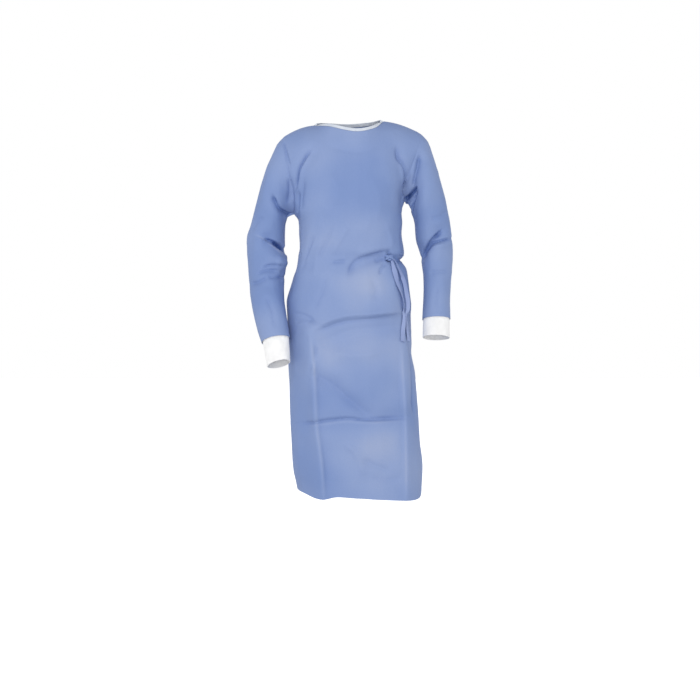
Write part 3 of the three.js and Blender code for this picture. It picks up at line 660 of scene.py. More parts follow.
class Grid:
    """A piece's middle surface, row by row. A closed one joins its last column to its first."""

    def __init__(self, points, closed=False, normals=None):
        self.points, self.closed, self.normals = points, closed, normals
        self.drop = np.zeros(points.shape[:2])

    def own_normals(self):
        p = self.points
        across = np.roll(p, -1, 1) - np.roll(p, 1, 1) if self.closed else np.gradient(p, axis=1)
        return unit(np.cross(across, np.gradient(p, axis=0)))

    def part(self, first, last):
        """The columns from one to another."""
        columns = slice(first, last + 1)
        cut = Grid(self.points[:, columns].copy(), normals=self.normals[:, columns])
        cut.drop = self.drop[:, columns]
        return cut


def half_grid(half):
    """A half of the body, with the corners of the neck smoothed out of the chest below them."""
    p = half_point(half, RUN[None, :], LEVELS[:, None])
    weight = smooth_step(*SOFT_RISE, LEVELS) * (1 - smooth_step(*SOFT_FALL, LEVELS))
    for _ in range(SOFT_PASSES):
        p[:, 1:-1] += weight[:, None, None] / 2 * ((p[:, :-2] + p[:, 2:]) / 2 - p[:, 1:-1])
    return Grid(p)


def sleeve_grid(arm):
    turn = np.arange(AROUND) / AROUND
    turn = turn if arm["side"] > 0 else (1 - turn) % 1
    return Grid(sleeve_point(arm, *np.broadcast_arrays(turn[None, :], SLEEVE_SHARES[:, None])), True)


def share_normals(grids):
    """Each grid's outward normals, shared where grids meet at a seam."""
    own = [grid.own_normals().reshape(-1, 3) for grid in grids]
    spots = np.concatenate([grid.points.reshape(-1, 3) for grid in grids])
    _, same = np.unique(np.round(spots / SAME_POINT + SAME_SHIFT), axis=0, return_inverse=True)
    same = same.ravel()
    summed = np.zeros((same.max() + 1, 3))
    np.add.at(summed, same, np.concatenate(own))
    shared = unit(summed)[same]
    start = 0
    for grid in grids:
        count = grid.points[..., 0].size
        grid.normals = shared[start : start + count].reshape(grid.points.shape)
        start += count


def seen(points):
    """Where points show, as X and Z on the plane Y = 0 through the camera."""
    centre = np.array([CAMERA_AT[0], CAMERA_AT[2]]) / MM
    reach = -CAMERA_AT[1] / MM
    return centre + (points[..., [0, 2]] - centre) * (reach / (reach + points[..., 1]))[..., None]


def tent(away, width, rounding):
    """The height across a crease: rounded along its line, and level again where its flanks end."""
    return np.clip(1 - (np.sqrt(away * away + rounding**2) - rounding) / (FLANK * width), 0, 1) ** 2


def drawn(points):
    """A smooth line through given points."""
    points = np.array(points, float).reshape(-1, 2)
    stops = {"at": np.arange(len(points)), "x": points[:, 0], "z": points[:, 1]}
    t = np.linspace(0, len(points) - 1, CREASE_STEPS + 1)
    return np.stack([curve(stops, "at", axis)(t) for axis in "xz"], -1)


def near_line(places, allowed, stops, reach):
    """Which points lie near a drawn line, how far off, on which side, and how full the line is there."""
    line = drawn(stops)
    run = run_along(line)
    inside = (places > line.min(0) - reach) & (places < line.max(0) + reach)
    near = np.nonzero(inside.all(-1) & allowed)
    place = places[near]
    best = np.full(len(place), np.inf)
    signed = np.zeros(len(place))
    along = np.zeros(len(place))
    for a, b, start, end in zip(line, line[1:], run, run[1:]):
        off = place - a
        d = (b - a) / (end - start)
        t = np.clip(off @ d, 0, end - start)
        away = np.linalg.norm(off - t[:, None] * d, axis=-1)
        nearer = away < best
        best = np.where(nearer, away, best)
        signed = np.where(nearer, off[:, 1] * d[0] - off[:, 0] * d[1], signed)
        along = np.where(nearer, (start + t) / run[-1], along)
    return near, best, signed, smooth_step(*CREASE_TAPER, along) * smooth_step(*CREASE_TAPER, 1 - along)


def fold_height(points, normals):
    flat = points[..., [0, 2]]
    height = np.zeros(points.shape[:-1])
    for side, folds in ((FRONT, FRONT_FOLDS), (BACK, BACK_FOLDS)):
        facing = smooth_step(0, FOLD_FULL, side * normals[..., 1])
        for *stops, tall, width in folds:
            near, away, _, _ = near_line(flat, facing > 0, stops, FLANK * width + FOLD_ROUND)
            height[near] += tall * facing[near] * tent(away, width, FOLD_ROUND)
    return height


def crease_height(points, normals):
    height = np.zeros(points.shape[:-1])
    for side, places, creases in (
        (FRONT, seen(points), FRONT_CREASES),
        (BACK, points[..., [0, 2]], BACK_CREASES),
    ):
        faces = side * normals[..., 1]
        for tall, left, right, *stops in creases:
            reach = FLANK * max(left, right) + CREASE_ROUND
            near, away, signed, taper = near_line(places, faces > CREASE_WRAP, stops, reach)
            width = np.where(signed > 0, left, right)
            facing = smooth_step(CREASE_WRAP, CREASE_FULL, faces[near])
            height[near] += CREASE_DEPTH * tall * facing * taper * tent(away, width, CREASE_ROUND)
    return height


def lattice_noise(points, size, seed):
    """Smooth noise from -1 to 1 on a lattice of that size."""
    q = points / np.array(size, float)
    cell = np.floor(q).astype(np.int64)
    t = q - cell
    t = t * t * t * (t * (6 * t - 15) + 10)
    total = np.zeros(points.shape[:-1])
    for corner in np.ndindex(2, 2, 2):
        mixed = ((cell + np.array(corner)) * HASH_AXES).sum(-1) + seed * HASH_MIX
        mixed = (mixed ^ (mixed >> 13)) * HASH_MIX
        value = ((mixed ^ (mixed >> 16)) & 0xFFFF) / 32767.5 - 1
        total += value * np.prod(np.where(np.array(corner), t, 1 - t), axis=-1)
    return total


def uneven_height(points):
    height = np.zeros(points.shape[:-1])
    for i, (across, up, tall, ridged) in enumerate(UNEVEN):
        noise = lattice_noise(points, (across, across, up), NOISE_SEED + i)
        height += tall * (RIDGE_LEVEL - 2 * np.abs(noise) if ridged else noise)
    return height


def painted_light_share(grid):
    """How much painted sheen and painted highlights lighten the cloth at each point of a grid."""
    flat = grid.points[..., [0, 2]]
    ragged = 1 + RAGGED * lattice_noise(grid.points @ RAGGED_TURN, RAGGED_SIZE, RAGGED_SEED)
    painted_light = np.zeros(grid.points.shape[:2])
    for side, middle, half, strength in SHEEN_PATCHES:
        away = np.linalg.norm((flat - np.array(middle)) / np.array(half), axis=-1) * ragged
        painted_light += strength * np.exp(-(away**2)) * smooth_step(0, SHEEN_FULL, side * grid.normals[..., 1])
    places = {FRONT: seen(grid.points), BACK: flat}
    for side, strength, half, *stops in HIGHLIGHT_LINES:
        allowed = side * grid.normals[..., 1] > 0
        near, away, _, taper = near_line(places[side], allowed, stops, HIGHLIGHT_REACH * half)
        painted_light[near] += strength * np.exp(-((away / half) ** 2)) * taper
    return painted_light


def seam_dip(grid):
    """How far the cloth sinks towards its seams."""
    p = grid.points
    dip = np.zeros(p.shape[:-1])
    for edge in ("bottom",) if grid.closed else ("first", "last"):
        axis, at, _ = EDGES[edge]
        away = np.linalg.norm(p - p.take([at], axis), axis=-1) / SEAM_WIDTH
        dip = np.maximum(dip, np.exp(-away * away))
    return dip * SEAM_DIP


def evened(height, closed):
    """The height with each point drawn a third of the way to its neighbours, except along open edges."""
    height = blurred(height, EVEN_WEIGHT)
    wide = np.pad(height, ((0, 0), (1, 1)), mode="wrap") if closed else height
    across = blurred(wide.T, EVEN_WEIGHT).T
    return across[:, 1:-1] if closed else across


def lowest_near(height, closed):
    """The lowest height among each point and its neighbours."""
    tall = np.pad(height, ((1, 1), (0, 0)), mode="edge")
    height = np.minimum(height, np.minimum(tall[:-2], tall[2:]))
    wide = np.pad(height, ((0, 0), (1, 1)), mode="wrap" if closed else "edge")
    return np.minimum(height, np.minimum(wide[:, :-2], wide[:, 2:]))


FRONT_GRID = half_grid(FRONT)
BACK_GRID = half_grid(BACK)
SLEEVES = {"sleeve_right": sleeve_grid(RIGHT_ARM), "sleeve_left": sleeve_grid(LEFT_ARM)}
GRIDS = [FRONT_GRID, BACK_GRID, *SLEEVES.values()]


def shape_cloth():
    share_normals(GRIDS)
    for grid in GRIDS:
        grid.points = grid.points + grid.normals * fold_height(grid.points, grid.normals)[..., None]
    share_normals(GRIDS)
    for grid in GRIDS:
        height = evened(crease_height(grid.points, grid.normals), grid.closed) + uneven_height(grid.points)
        if grid.closed:
            height = height * (1 - smooth_step(*WRIST_CALM, SLEEVE_SHARES))[:, None]
        grid.points = grid.points + grid.normals * (height - seam_dip(grid))[..., None]
        grid.drop = height - lowest_near(height, grid.closed)
    share_normals(GRIDS)


shape_cloth()


def sheet_faces(height, width, closed):
    """Quads between the points of a sheet, row by row."""
    cells = width if closed else width - 1
    row, column = np.meshgrid(np.arange(height - 1), np.arange(cells), indexing="ij")
    a = row * width + column
    b = row * width + (column + 1) % width
    return np.stack([a, b, b + width, a + width], -1).reshape(-1, 4)


def wall_faces(height, width, closed, step):
    """Faces of a closed wall: its outer points, then an inner one for each step of rows and columns."""
    outer = np.arange(height * width).reshape(height, width)
    rows, columns = outer[::step, ::step].shape
    inner = outer.size + np.arange(rows * columns).reshape(rows, columns)
    faces = sheet_faces(height, width, closed).tolist()
    faces += (sheet_faces(rows, columns, closed)[:, ::-1] + outer.size).tolist()
    if closed:
        outer, inner = (np.concatenate([side, side[:, :1]], 1) for side in (outer, inner))
        rims = [(0, True), (-1, False)]
    else:
        rims = [(0, True), (-1, False), ((slice(None), 0), False), ((slice(None), -1), True)]
    for place, turned in rims:
        out, back = outer[place].tolist(), inner[place].tolist()
        for k in range(len(back) - 1):
            face = [*out[step * k : step * (k + 1) + 1], back[k + 1], back[k]]
            faces.append(face[::-1] if turned else face)
    return faces


def tube_faces(count, around):
    """Faces of a closed tube of rings, with both ends shut."""
    ends = np.arange(count * around).reshape(count, around)
    sides = np.roll(sheet_faces(count, around, True)[:, ::-1], 1, 1)
    return [*sides.tolist(), ends[0].tolist(), ends[-1, ::-1].tolist()]


def new_object(name, data):
    obj = bpy.data.objects.new(name, data)
    bpy.context.scene.collection.objects.link(obj)
    return obj


def new_mesh(name, points, faces, uv, sharp=SHARP):
    """An object from points in millimetres. uv holds a place for each point, in metres of cloth."""
    mesh = bpy.data.meshes.new(name)
    mesh.from_pydata((points * MM).tolist(), [], faces)
    mesh.polygons.foreach_set("use_smooth", np.ones(len(mesh.polygons), bool))
    mesh.set_sharp_from_angle(angle=math.radians(sharp))
    loops = np.empty(len(mesh.loops), np.int32)
    mesh.loops.foreach_get("vertex_index", loops)
    mesh.uv_layers.new(name="cloth").data.foreach_set("uv", uv[loops].astype(np.float32).ravel())
    mesh.update()
    return new_object(name, mesh)


def stacked(outer, inner):
    """Two sheets of values as one list, the outer one first."""
    return np.concatenate([values.reshape(-1, values.shape[-1]) for values in (outer, inner)])


def wall(name, outer, inner, middle, closed, step=1, sharp=SHARP):
    """A closed wall between two sheets. Places on the cloth are measured along its middle row and column."""
    height, width = middle.shape[:2]
    u = run_along(middle[height // 2]) * MM
    v = run_along(middle[:, width // 2]) * MM
    uv = np.stack(np.meshgrid(u, v), -1)
    points = stacked(outer, inner[::step, ::step])
    faces = wall_faces(height, width, closed, step)
    return new_mesh(name, points, faces, stacked(uv, uv[::step, ::step]), sharp)


def cloth_shell(name, grid, edges=(), thick=CLOTH, step=1):
    """A thin wall on a grid, drawn in at the named edges. Its inner side keeps clear of the creases."""
    middle = grid.points.copy()
    for edge in edges:
        axis, at, beside = EDGES[edge]
        rows = np.moveaxis(middle, axis, 0)
        rows[at] += unit(rows[beside] - rows[at]) * SEAM_DRAW
    outer = middle + grid.normals * thick / 2
    inner = middle - grid.normals * (thick / 2 + grid.drop)[..., None]
    return wall(name, outer, inner, middle, grid.closed, step)


def join(name, pieces):
    """One object from several lists of points, faces and places on the cloth."""
    points, faces, uvs = [], [], []
    start = 0
    for more_points, more_faces, more_uv in pieces:
        points.append(more_points)
        uvs.append(more_uv)
        faces += [[i + start for i in face] for face in more_faces]
        start += len(more_points)
    return new_mesh(name, np.concatenate(points), faces, np.concatenate(uvs))


# Materials


def feed(tree, node, inputs):
    """Sets a node's inputs, each to a value or to another node's output."""
    for name, value in inputs.items():
        if isinstance(value, bpy.types.NodeSocket):
            tree.links.new(value, node.inputs[name])
        else:
            node.inputs[name].default_value = value


def new_material(name, roughness, specular, sheen=0.0):
    material = bpy.data.materials.new(name)
    material.use_nodes = True
    shader = material.node_tree.nodes["Principled BSDF"]
    feed(material.node_tree, shader, {"Roughness": roughness, "Specular IOR Level": specular})
    feed(material.node_tree, shader, {"Sheen Weight": sheen, "Sheen Roughness": 0.4})
    return material, material.node_tree, shader


def add_node(tree, kind, inputs, output=0, **settings):
    """A new node's output."""
    node = tree.nodes.new("ShaderNode" + kind)
    for name, value in settings.items():
        setattr(node, name, value)
    feed(tree, node, inputs)
    return node.outputs[output]


def add_ramp(tree, fac, stops):
    """A ramp through stops, each a place from 0 to 1 and a colour."""
    colour = add_node(tree, "ValToRGB", {"Fac": fac}, "Color")
    elements = colour.node.color_ramp.elements
    for element, (place, tone) in zip(elements, (stops[0], stops[-1])):
        element.position = place
        element.color = (*tone, 1)
    for place, tone in stops[1:-1]:
        elements.new(place).color = (*tone, 1)
    return colour


def noise(tree, place, scale, detail=4.0, roughness=0.7):
    inputs = {"Vector": place, "Scale": scale, "Detail": detail, "Roughness": roughness}
    return add_node(tree, "TexNoise", inputs, "Fac")


def clouds(tree, place, fibre, scale):
    """A value that drifts in broad clouds and in fine fibres."""
    broad = noise(tree, place, scale, detail=2.0, roughness=0.45)
    return add_node(tree, "Mix", {"Factor": 0.25, "A": broad, "B": fibre}, "Result", data_type="FLOAT")


def nonwoven(name, dark, light, roughness):
    """Bonded fibres: cloudy blue, lightened by painted sheen and highlights, darkened by painted shade in
    its creases, with a lattice of small pressed points.
    """
    material, tree, shader = new_material(name, roughness, specular=0.45)
    place = add_node(tree, "TexCoord", {}, "Object")
    cloth = add_node(tree, "TexCoord", {}, "UV")
    fibre = noise(tree, place, scale=420)
    # The point attribute adds painted sheen and painted highlights to the cloth's tone.
    painted_light = add_node(tree, "Attribute", {}, "Fac", attribute_name="painted_light", attribute_type="GEOMETRY")
    cloudy = clouds(tree, place, fibre, scale=4.5)
    tone = add_node(tree, "Math", {0: cloudy, 1: painted_light}, "Value", operation="ADD")
    colour = add_ramp(tree, tone, [(0.4, dark), (0.6, light), (1.0, PALEST)])
    # Painted shade: ambient occlusion multiplies the colour darker and bluer in creases and hollows.
    open_share = add_node(tree, "AmbientOcclusion", {"Distance": 0.015}, "AO", samples=8, only_local=True)
    painted_shade_range = {"Value": open_share, "From Min": 0.4, "From Max": 0.96, "To Min": 1.0, "To Max": 0.0}
    shade = {0: add_node(tree, "MapRange", painted_shade_range, "Result"), 6: colour, 7: PAINTED_CREASE_SHADE}
    shaded = add_node(tree, "Mix", shade, 2, data_type="RGBA", blend_type="MULTIPLY")
    turned = {"Vector": cloth, "Rotation": (0, 0, math.radians(45)), "Scale": BOND_SCALE}
    lattice = {"Vector": add_node(tree, "Mapping", turned, "Vector"), "Scale": 1.0, "Randomness": 0.12}
    points = add_node(tree, "TexVoronoi", lattice, "Distance")
    pressed = add_node(tree, "MapRange", {"Value": points, "From Min": 0.18, "From Max": 0.42}, "Result")
    relief = add_node(tree, "Mix", {"Factor": 0.35, "A": pressed, "B": fibre}, "Result", data_type="FLOAT")
    bump = add_node(tree, "Bump", {"Strength": 0.3, "Distance": 0.0002, "Height": relief}, "Normal")
    rough = {"Value": fibre, "To Min": roughness - 0.06, "To Max": roughness + 0.08}
    finish = add_node(tree, "MapRange", rough, "Result")
    feed(tree, shader, {"Base Color": shaded, "Normal": bump, "Roughness": finish})
    return material


def woven_tape(name, dark, light, roughness, pitch):
    """A plain weave with threads of that pitch, in metres."""
    material, tree, shader = new_material(name, roughness, specular=0.3, sheen=0.2)
    place = add_node(tree, "TexCoord", {}, "Object")
    tone = clouds(tree, place, noise(tree, place, scale=600), scale=30)
    colour = add_ramp(tree, tone, [(0.4, dark), (0.6, light)])
    threads = {"Vector": add_node(tree, "TexCoord", {}, "UV"), "Scale": 1 / (2 * pitch), "Distortion": 0.6}
    waves = {i: add_node(tree, "TexWave", threads, "Fac", bands_direction=way) for i, way in enumerate("XY")}
    weave = add_node(tree, "Math", waves, "Value", operation="MULTIPLY")
    bump = add_node(tree, "Bump", {"Strength": 0.35, "Distance": 0.0002, "Height": weave}, "Normal")
    feed(tree, shader, {"Base Color": colour, "Normal": bump})
    return material


GOWN = nonwoven("gown_cloth", (0.180, 0.266, 0.524), (0.242, 0.326, 0.568), 0.66)
TIE_CLOTH = nonwoven("tie_cloth", (0.260, 0.335, 0.600), (0.320, 0.395, 0.650), 0.62)
KNIT = woven_tape("cuff_knit", (0.88, 0.88, 0.885), (0.95, 0.95, 0.955), 0.85, 0.0011)
TAPE = woven_tape("binding", (0.62, 0.67, 0.76), (0.70, 0.745, 0.82), 0.7, 0.0006)
THREAD = woven_tape("thread", (0.70, 0.74, 0.82), (0.80, 0.83, 0.88), 0.6, 0.0003)


def dress(obj, material, slot, *nodes):
    """The object's finish, the body that it rides on and the nodes that it stands for."""
    obj.data.materials.append(material)
    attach(obj, "root")
    if nodes:
        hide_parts(*nodes)


# Panels and sleeves


def build_panels():
    lap_start, lap_end = (int(np.argmin(np.abs(RUN - stop))) for stop in (LAP_START, LAP_END))
    inner = BACK_GRID.part(0, lap_end)
    outer = BACK_GRID.part(lap_start, len(RUN) - 1)
    lift = FLAP_LIFT * (1 - smooth_step(*FLAP_EASE, RUN[lap_start:]))
    outer.points += outer.normals * lift[:, None]
    panels = {
        "front": (FRONT_GRID, ("first", "last", "top")),
        "back_left": (inner, ("first", "top")),
        "back_right": (outer, ("last", "top")),
    }
    panels.update({name: (grid, ("bottom",)) for name, grid in SLEEVES.items()})
    for name, (grid, edges) in panels.items():
        obj = cloth_shell(name + "_cloth", grid, edges, step=INNER_STEP)
        # Painted sheen and painted highlights, stored on each point for the material to lighten the cloth.
        painted_light = painted_light_share(grid)[..., None]
        values = stacked(painted_light, painted_light[::INNER_STEP, ::INNER_STEP]).astype(np.float32)
        obj.data.attributes.new("painted_light", "FLOAT", "POINT").data.foreach_set("value", values.ravel())
        dress(obj, GOWN, "gown_cloth", name)


# Knit cuffs


def build_cuff(name, arm):
    wrist = {key: values[-1] for key, values in arm["sections"].items()}
    end = arm["cuff"]
    reach = math.hypot(end["outX"] - wrist["outX"], end["outZ"] - wrist["outZ"])
    around = CUFF.ribs * CUFF.per_rib
    turn = arm["side"] * 2 * np.pi * np.arange(around) / around
    share = np.linspace(0, 1, CUFF.rows + 1)
    t = -CUFF.tuck / reach + share * (1 + CUFF.tuck / reach)
    turn, t = np.broadcast_arrays(turn[None, :], t[:, None])
    section = {key: wrist[key] + (end[key] - wrist[key]) * t for key in end}
    inset = arm["inset"] * (1 - smooth_step(0, 1, t))
    wale = 0.5 + 0.5 * np.cos(turn * CUFF.ribs)
    course = np.cos(2 * np.pi * t * reach / CUFF.course)
    relief = CUFF.rib * wale ** CUFF.rib_power + CUFF.loop * course * wale
    edge = CUFF.edge * np.exp(-(((1 - share[:, None]) * reach / CUFF.edge_width) ** 2))
    waver = sum(tall * np.sin(turns * turn + drift * t) for tall, turns, drift in CUFF_WAVER)
    waver = waver * t.clip(0, 1)
    outer = oval_point(section, turn, inset - relief - edge - waver)
    inner = oval_point(section, turn, inset + CUFF.wall - waver)
    obj = wall(name + "_knit", outer, inner, outer, True, sharp=CUFF.sharp)
    dress(obj, KNIT, "cuff_knit", name)


# Neck binding


def stitch_row(line, outs):
    """Stitches along a line of points, each a small capsule that lies on the cloth."""
    run = run_along(line)
    pitch, length, thick = STITCH.pitch, STITCH.length, STITCH.thick
    turn = -2 * np.pi * np.arange(STITCH.sides) / STITCH.sides
    faces = tube_faces(len(STITCH_RINGS), STITCH.sides)

    def at(values, s):
        return np.stack([np.interp(s, run, values[:, i]) for i in range(3)], -1)

    pieces = []
    for start in np.arange(pitch, run[-1] - pitch, pitch):
        middle, out = at(line, start), unit(at(outs, start))
        along = unit(at(line, start + length / 2) - at(line, start - length / 2))
        ring = np.cos(turn)[:, None] * np.cross(out, along) + np.sin(turn)[:, None] * out
        points = np.concatenate(
            [middle + along * length * share + ring * thick * swell for share, swell in STITCH_RINGS]
        )
        pieces.append((points, faces, points[:, :2] * MM))
    return pieces


def neck_line():
    """The neck edge from the inner back panel's end round the front to the outer back panel's end."""
    neck_end = COLUMNS - SHOULDER_COLUMNS
    runs = [
        (BACK_GRID, SHOULDER_COLUMNS, LAP_END, slice(None)),
        (FRONT_GRID, SHOULDER_COLUMNS, neck_end, slice(1, -1)),
        (BACK_GRID, LAP_START, neck_end, slice(None)),
    ]
    points, outs = [], []
    for grid, first, last, kept in runs:
        columns = np.nonzero((RUN > first - 1e-6) & (RUN < last + 1e-6))[0][::-1][kept]
        points.append(grid.points[-1, columns])
        outs.append(grid.normals[-1, columns])
    flap = BINDING.lap * (1 - smooth_step(LAP_END, LAP_END + BINDING.ease, RUN[columns]))
    points, outs = np.concatenate(points), np.concatenate(outs)
    lift = np.concatenate([np.zeros(len(points) - len(flap)), flap])
    for _ in range(BINDING.passes):
        points = blurred(points)
        outs = unit(blurred(outs))
    along = unit(np.gradient(points, axis=0))
    up = unit(np.cross(along, outs))
    away = np.cross(up, along)
    return points + away * lift[:, None], up, away


def build_binding():
    line, up, away = neck_line()
    tall, half, thick = BINDING.height, BINDING.half, BINDING.shell
    turn = np.radians(np.linspace(0, 180, BINDING.ridge_points))
    ridge = [(tall - half + half * math.sin(a), half * math.cos(a)) for a in turn]
    rises = np.linspace(BINDING.base, tall - half, BINDING.flat_points)[:-1]
    section = np.array([(r, half) for r in rises] + ridge + [(r, -half) for r in rises[::-1]])
    count = np.arange(len(line))
    pucker = sum(size * np.sin(count * pace + start) for size, pace, start in BINDING_PUCKER)
    bulge = np.sin(np.pi * np.clip(section[:, 0] / tall, 0, 1)) * np.sign(section[:, 1])
    out = section[None, :, 1] + bulge[None, :] * pucker[:, None]
    points = line[:, None] + up[:, None] * section[None, :, :1] + away[:, None] * out[..., None]
    grid = Grid(points)
    grid.normals = grid.own_normals()
    if (grid.normals[:, 0] * away).sum() < 0:
        grid = Grid(points[:, ::-1], normals=-grid.normals[:, ::-1])
    obj = cloth_shell("neck_binding_tape", grid, thick=thick)
    dress(obj, TAPE, "binding", "neck_binding")
    base = line + up * BINDING.stitch_up + away * (half + thick / 2)
    stitches = join("neck_stitches", stitch_row(base, away))
    dress(stitches, THREAD, "binding")


# Belt, knot and tie ends


def on_panel(grid, column, level):
    """Points and normals of a panel at given columns and levels."""
    col = np.interp(column, RUN, np.arange(len(RUN)))
    row = np.interp(level, LEVELS, np.arange(len(LEVELS)))
    c0 = np.clip(col.astype(int), 0, len(RUN) - 2)
    r0 = np.clip(row.astype(int), 0, len(LEVELS) - 2)
    c, r = (col - c0)[..., None], (row - r0)[..., None]

    def read(values):
        low = values[r0, c0] * (1 - c) + values[r0, c0 + 1] * c
        high = values[r0 + 1, c0] * (1 - c) + values[r0 + 1, c0 + 1] * c
        return low * (1 - r) + high * r

    return read(grid.points), unit(read(grid.normals))


def build_belt():
    level = np.linspace(BELT.level_low, BELT.level_high, BELT.rows)
    front = np.linspace(BELT.start, COLUMNS, BELT.front_points)
    back = np.linspace(0, BELT.end, BELT.back_points)[1:]
    climb = FLAP_LIFT * smooth_step(LAP_START - BELT.climb, LAP_START - BELT.climbed, back)
    points, normals = [], []
    for grid, column, lift in ((FRONT_GRID, front, 0 * front), (BACK_GRID, back, climb)):
        spots, outs = on_panel(grid, *np.meshgrid(column, level))
        points.append(spots + outs * (BELT.out + lift)[None, :, None])
        normals.append(outs)
    points, normals = np.concatenate(points, axis=1), np.concatenate(normals, axis=1)
    cup = np.cos(np.pi * np.linspace(-1, 1, len(level)))[:, None] * BELT.cup + BELT.rise
    ripple = cup * (1 + BELT.ripple * np.sin(np.arange(points.shape[1]) * BELT.pace)[None, :])
    grid = Grid(points + normals * ripple[..., None], normals=normals)
    obj = cloth_shell("belt_strip", grid, thick=BELT.thick)
    dress(obj, GOWN, "gown_cloth", "belt")


def ribbon(centre, out, wide, thick, cup):
    """A flat strip along a line: its points, faces and places on the cloth."""
    along = unit(np.gradient(centre, axis=0))
    side = unit(np.cross(along, out))
    out = np.cross(side, along)
    across = np.linspace(-1, 1, RIBBON.points)
    edge = np.sqrt(1 - RIBBON.round * across ** RIBBON.power)
    order = np.concatenate([across, across[::-1]])
    offset = np.concatenate([edge, -edge[::-1]]) * thick / 2 - cup * order**2
    reach = order[None, :] * wide[:, None] / 2
    points = centre[:, None] + side[:, None] * reach[..., None] + out[:, None] * offset[None, :, None]
    uv = np.stack(np.meshgrid(order * TIE.wide / 2, run_along(centre)), -1)
    return points.reshape(-1, 3), tube_faces(*points.shape[:2]), uv.reshape(-1, 2) * MM


FRONT_TREE = BVHTree.FromPolygons(
    FRONT_GRID.points.reshape(-1, 3).tolist(), sheet_faces(*FRONT_GRID.points.shape[:2], False).tolist()
)


def on_front(x, z):
    spot, normal, _, _ = FRONT_TREE.ray_cast(Vector((x, -BEFORE, z)), Vector((0, 1, 0)))
    return np.array(spot), np.array(normal)


def build_tie(name):
    stops = TIE_TABLES[name]
    stops["at"] = np.linspace(0, 1, len(stops["x"]))
    at = curves(stops, "at")
    share = np.linspace(0, 1, TIE.stations + 1)
    spots, normals = (np.array(found) for found in zip(*map(on_front, at["x"](share), at["z"](share))))
    for _ in range(TIE.passes):
        normals = unit(blurred(normals))
        spots = blurred(spots)
    roll = np.radians(at["roll"](share))
    wide = at["wide"](share)
    lift = TIE.lift + at["raise"](share) + np.abs(np.sin(roll)) * wide / 2
    centre = spots + normals * lift[:, None]
    side = unit(np.cross(unit(np.gradient(centre, axis=0)), normals))
    out = normals * np.cos(roll)[:, None] + side * np.sin(roll)[:, None]
    obj = join(name + "_strip", [ribbon(centre, out, wide, TIE.thick, TIE.cup)])
    dress(obj, TIE_CLOTH, "gown_cloth", name)


def build_knot():
    point, out = on_panel(FRONT_GRID, np.array([BELT.start]), np.array([KNOT.level]))
    out = out[0]
    side = unit(np.cross(np.array([0, 0, 1.0]), out))
    up = np.cross(out, side)
    wide, deep, high = KNOT.half_wide, KNOT.half_deep, KNOT.half_high
    centre = point[0] + out * (BELT.out + BELT.thick + KNOT.gap + deep)

    def place(x, y, z):
        return centre + side * x[..., None] + out * y[..., None] + up * z[..., None]

    tilt = np.linspace(LUMP.pole, np.pi - LUMP.pole, LUMP.rows)[:, None]
    turn = np.linspace(0, 2 * np.pi, LUMP.around, endpoint=False)[None, :]
    pleat = 1 - LUMP.pleat * np.abs(np.sin(LUMP.pleats * turn + LUMP.twist * np.cos(tilt))) ** 3
    lump = place(
        LUMP.wide * wide * pleat * np.sin(tilt) * np.cos(turn),
        LUMP.deep * deep * pleat * np.sin(tilt) * np.sin(turn),
        LUMP.high * high * np.cos(tilt) + 0 * turn,
    )[:, ::-1]
    points = lump.reshape(-1, 3)
    pieces = [(points, tube_faces(*lump.shape[:2]), points[:, [0, 2]] * MM)]
    for lean, width, reach, start, end in WRAPS:
        sweep = np.pi * np.linspace(start, end, WRAP.stations)
        x = wide * reach * np.cos(sweep)
        y = deep * (WRAP.deep + WRAP.deeper * reach) * np.sin(sweep)
        z = WRAP.slope * lean * x + WRAP.bend * np.sin(2 * sweep)
        outs = side * (np.cos(sweep) / wide)[:, None] + out * (np.sin(sweep) / deep)[:, None]
        swell = width * (1 - WRAP.waist * np.cos(sweep) ** 2)
        pieces.append(ribbon(place(x, y, z), unit(outs), swell, WRAP.thick, WRAP.cup))
    dress(join("knot_wrapped", pieces), GOWN, "gown_cloth", "knot")


# Stage


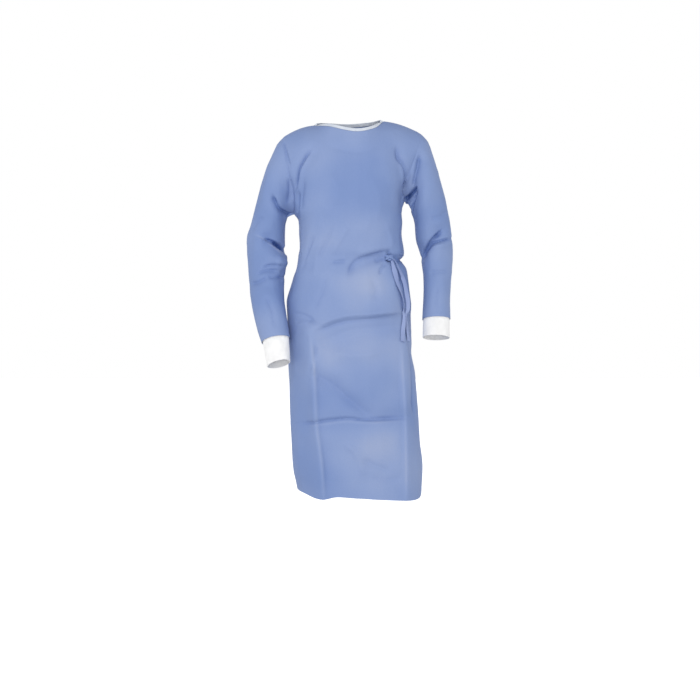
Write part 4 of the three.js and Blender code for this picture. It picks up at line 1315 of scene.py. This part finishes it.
def build_stage():
    mesh = bpy.data.meshes.new("floor")
    corners = [(x * FLOOR_REACH, y * FLOOR_REACH, FLOOR_Z) for x, y in ((-1, -1), (1, -1), (1, 1), (-1, 1))]
    mesh.from_pydata(corners, [], [(0, 1, 2, 3)])
    material, tree, shader = new_material("floor", roughness=0.9, specular=0.1)
    glow = {"Emission Color": WHITE, "Emission Strength": FLOOR_GLOW}
    feed(tree, shader, {"Base Color": FLOOR_TONE, **glow})
    mesh.materials.append(material)
    floor = new_object("floor", mesh)
    floor.visible_diffuse = False
    floor.visible_glossy = False

    world = bpy.data.worlds.new("studio")
    bpy.context.scene.world = world
    world.use_nodes = True
    tree = world.node_tree
    way = {"Vector": add_node(tree, "TexCoord", {}, "Generated")}
    up = {"Value": add_node(tree, "SeparateXYZ", way, "Z"), "From Min": -1.0}
    stops = [(place, (strength,) * 3) for place, strength in SKY]
    sky = add_ramp(tree, add_node(tree, "MapRange", up, "Result"), stops)
    ambient = tree.nodes["Background"]
    feed(tree, ambient, {"Color": WHITE, "Strength": sky})
    backdrop = add_node(tree, "Background", {"Color": WHITE, "Strength": 1.0})
    direct = add_node(tree, "LightPath", {}, "Is Camera Ray")
    either = add_node(tree, "MixShader", {"Fac": direct, 1: ambient.outputs["Background"], 2: backdrop})
    feed(tree, tree.nodes["World Output"], {"Surface": either})

    for name, spot, size, power in LAMPS:
        light = bpy.data.lights.new(name, "AREA")
        light.size, light.energy = size, power
        lamp = new_object(name, light)
        lamp.location = spot
        lamp.rotation_euler = (Vector(LAMPS_AT) - Vector(spot)).to_track_quat("-Z", "Y").to_euler()

    camera = new_object("camera", bpy.data.cameras.new("camera"))
    camera.data.lens, camera.data.sensor_width = LENS, SENSOR
    camera.location = CAMERA_AT
    camera.rotation_euler = (math.radians(90), 0, 0)
    bpy.context.scene.camera = camera
    bpy.context.scene.view_settings.view_transform = "Standard"


build_panels()
build_cuff("cuff_right", RIGHT_ARM)
build_cuff("cuff_left", LEFT_ARM)
build_binding()
build_belt()
build_knot()
for tie in TIE_TABLES:
    build_tie(tie)
build_stage()
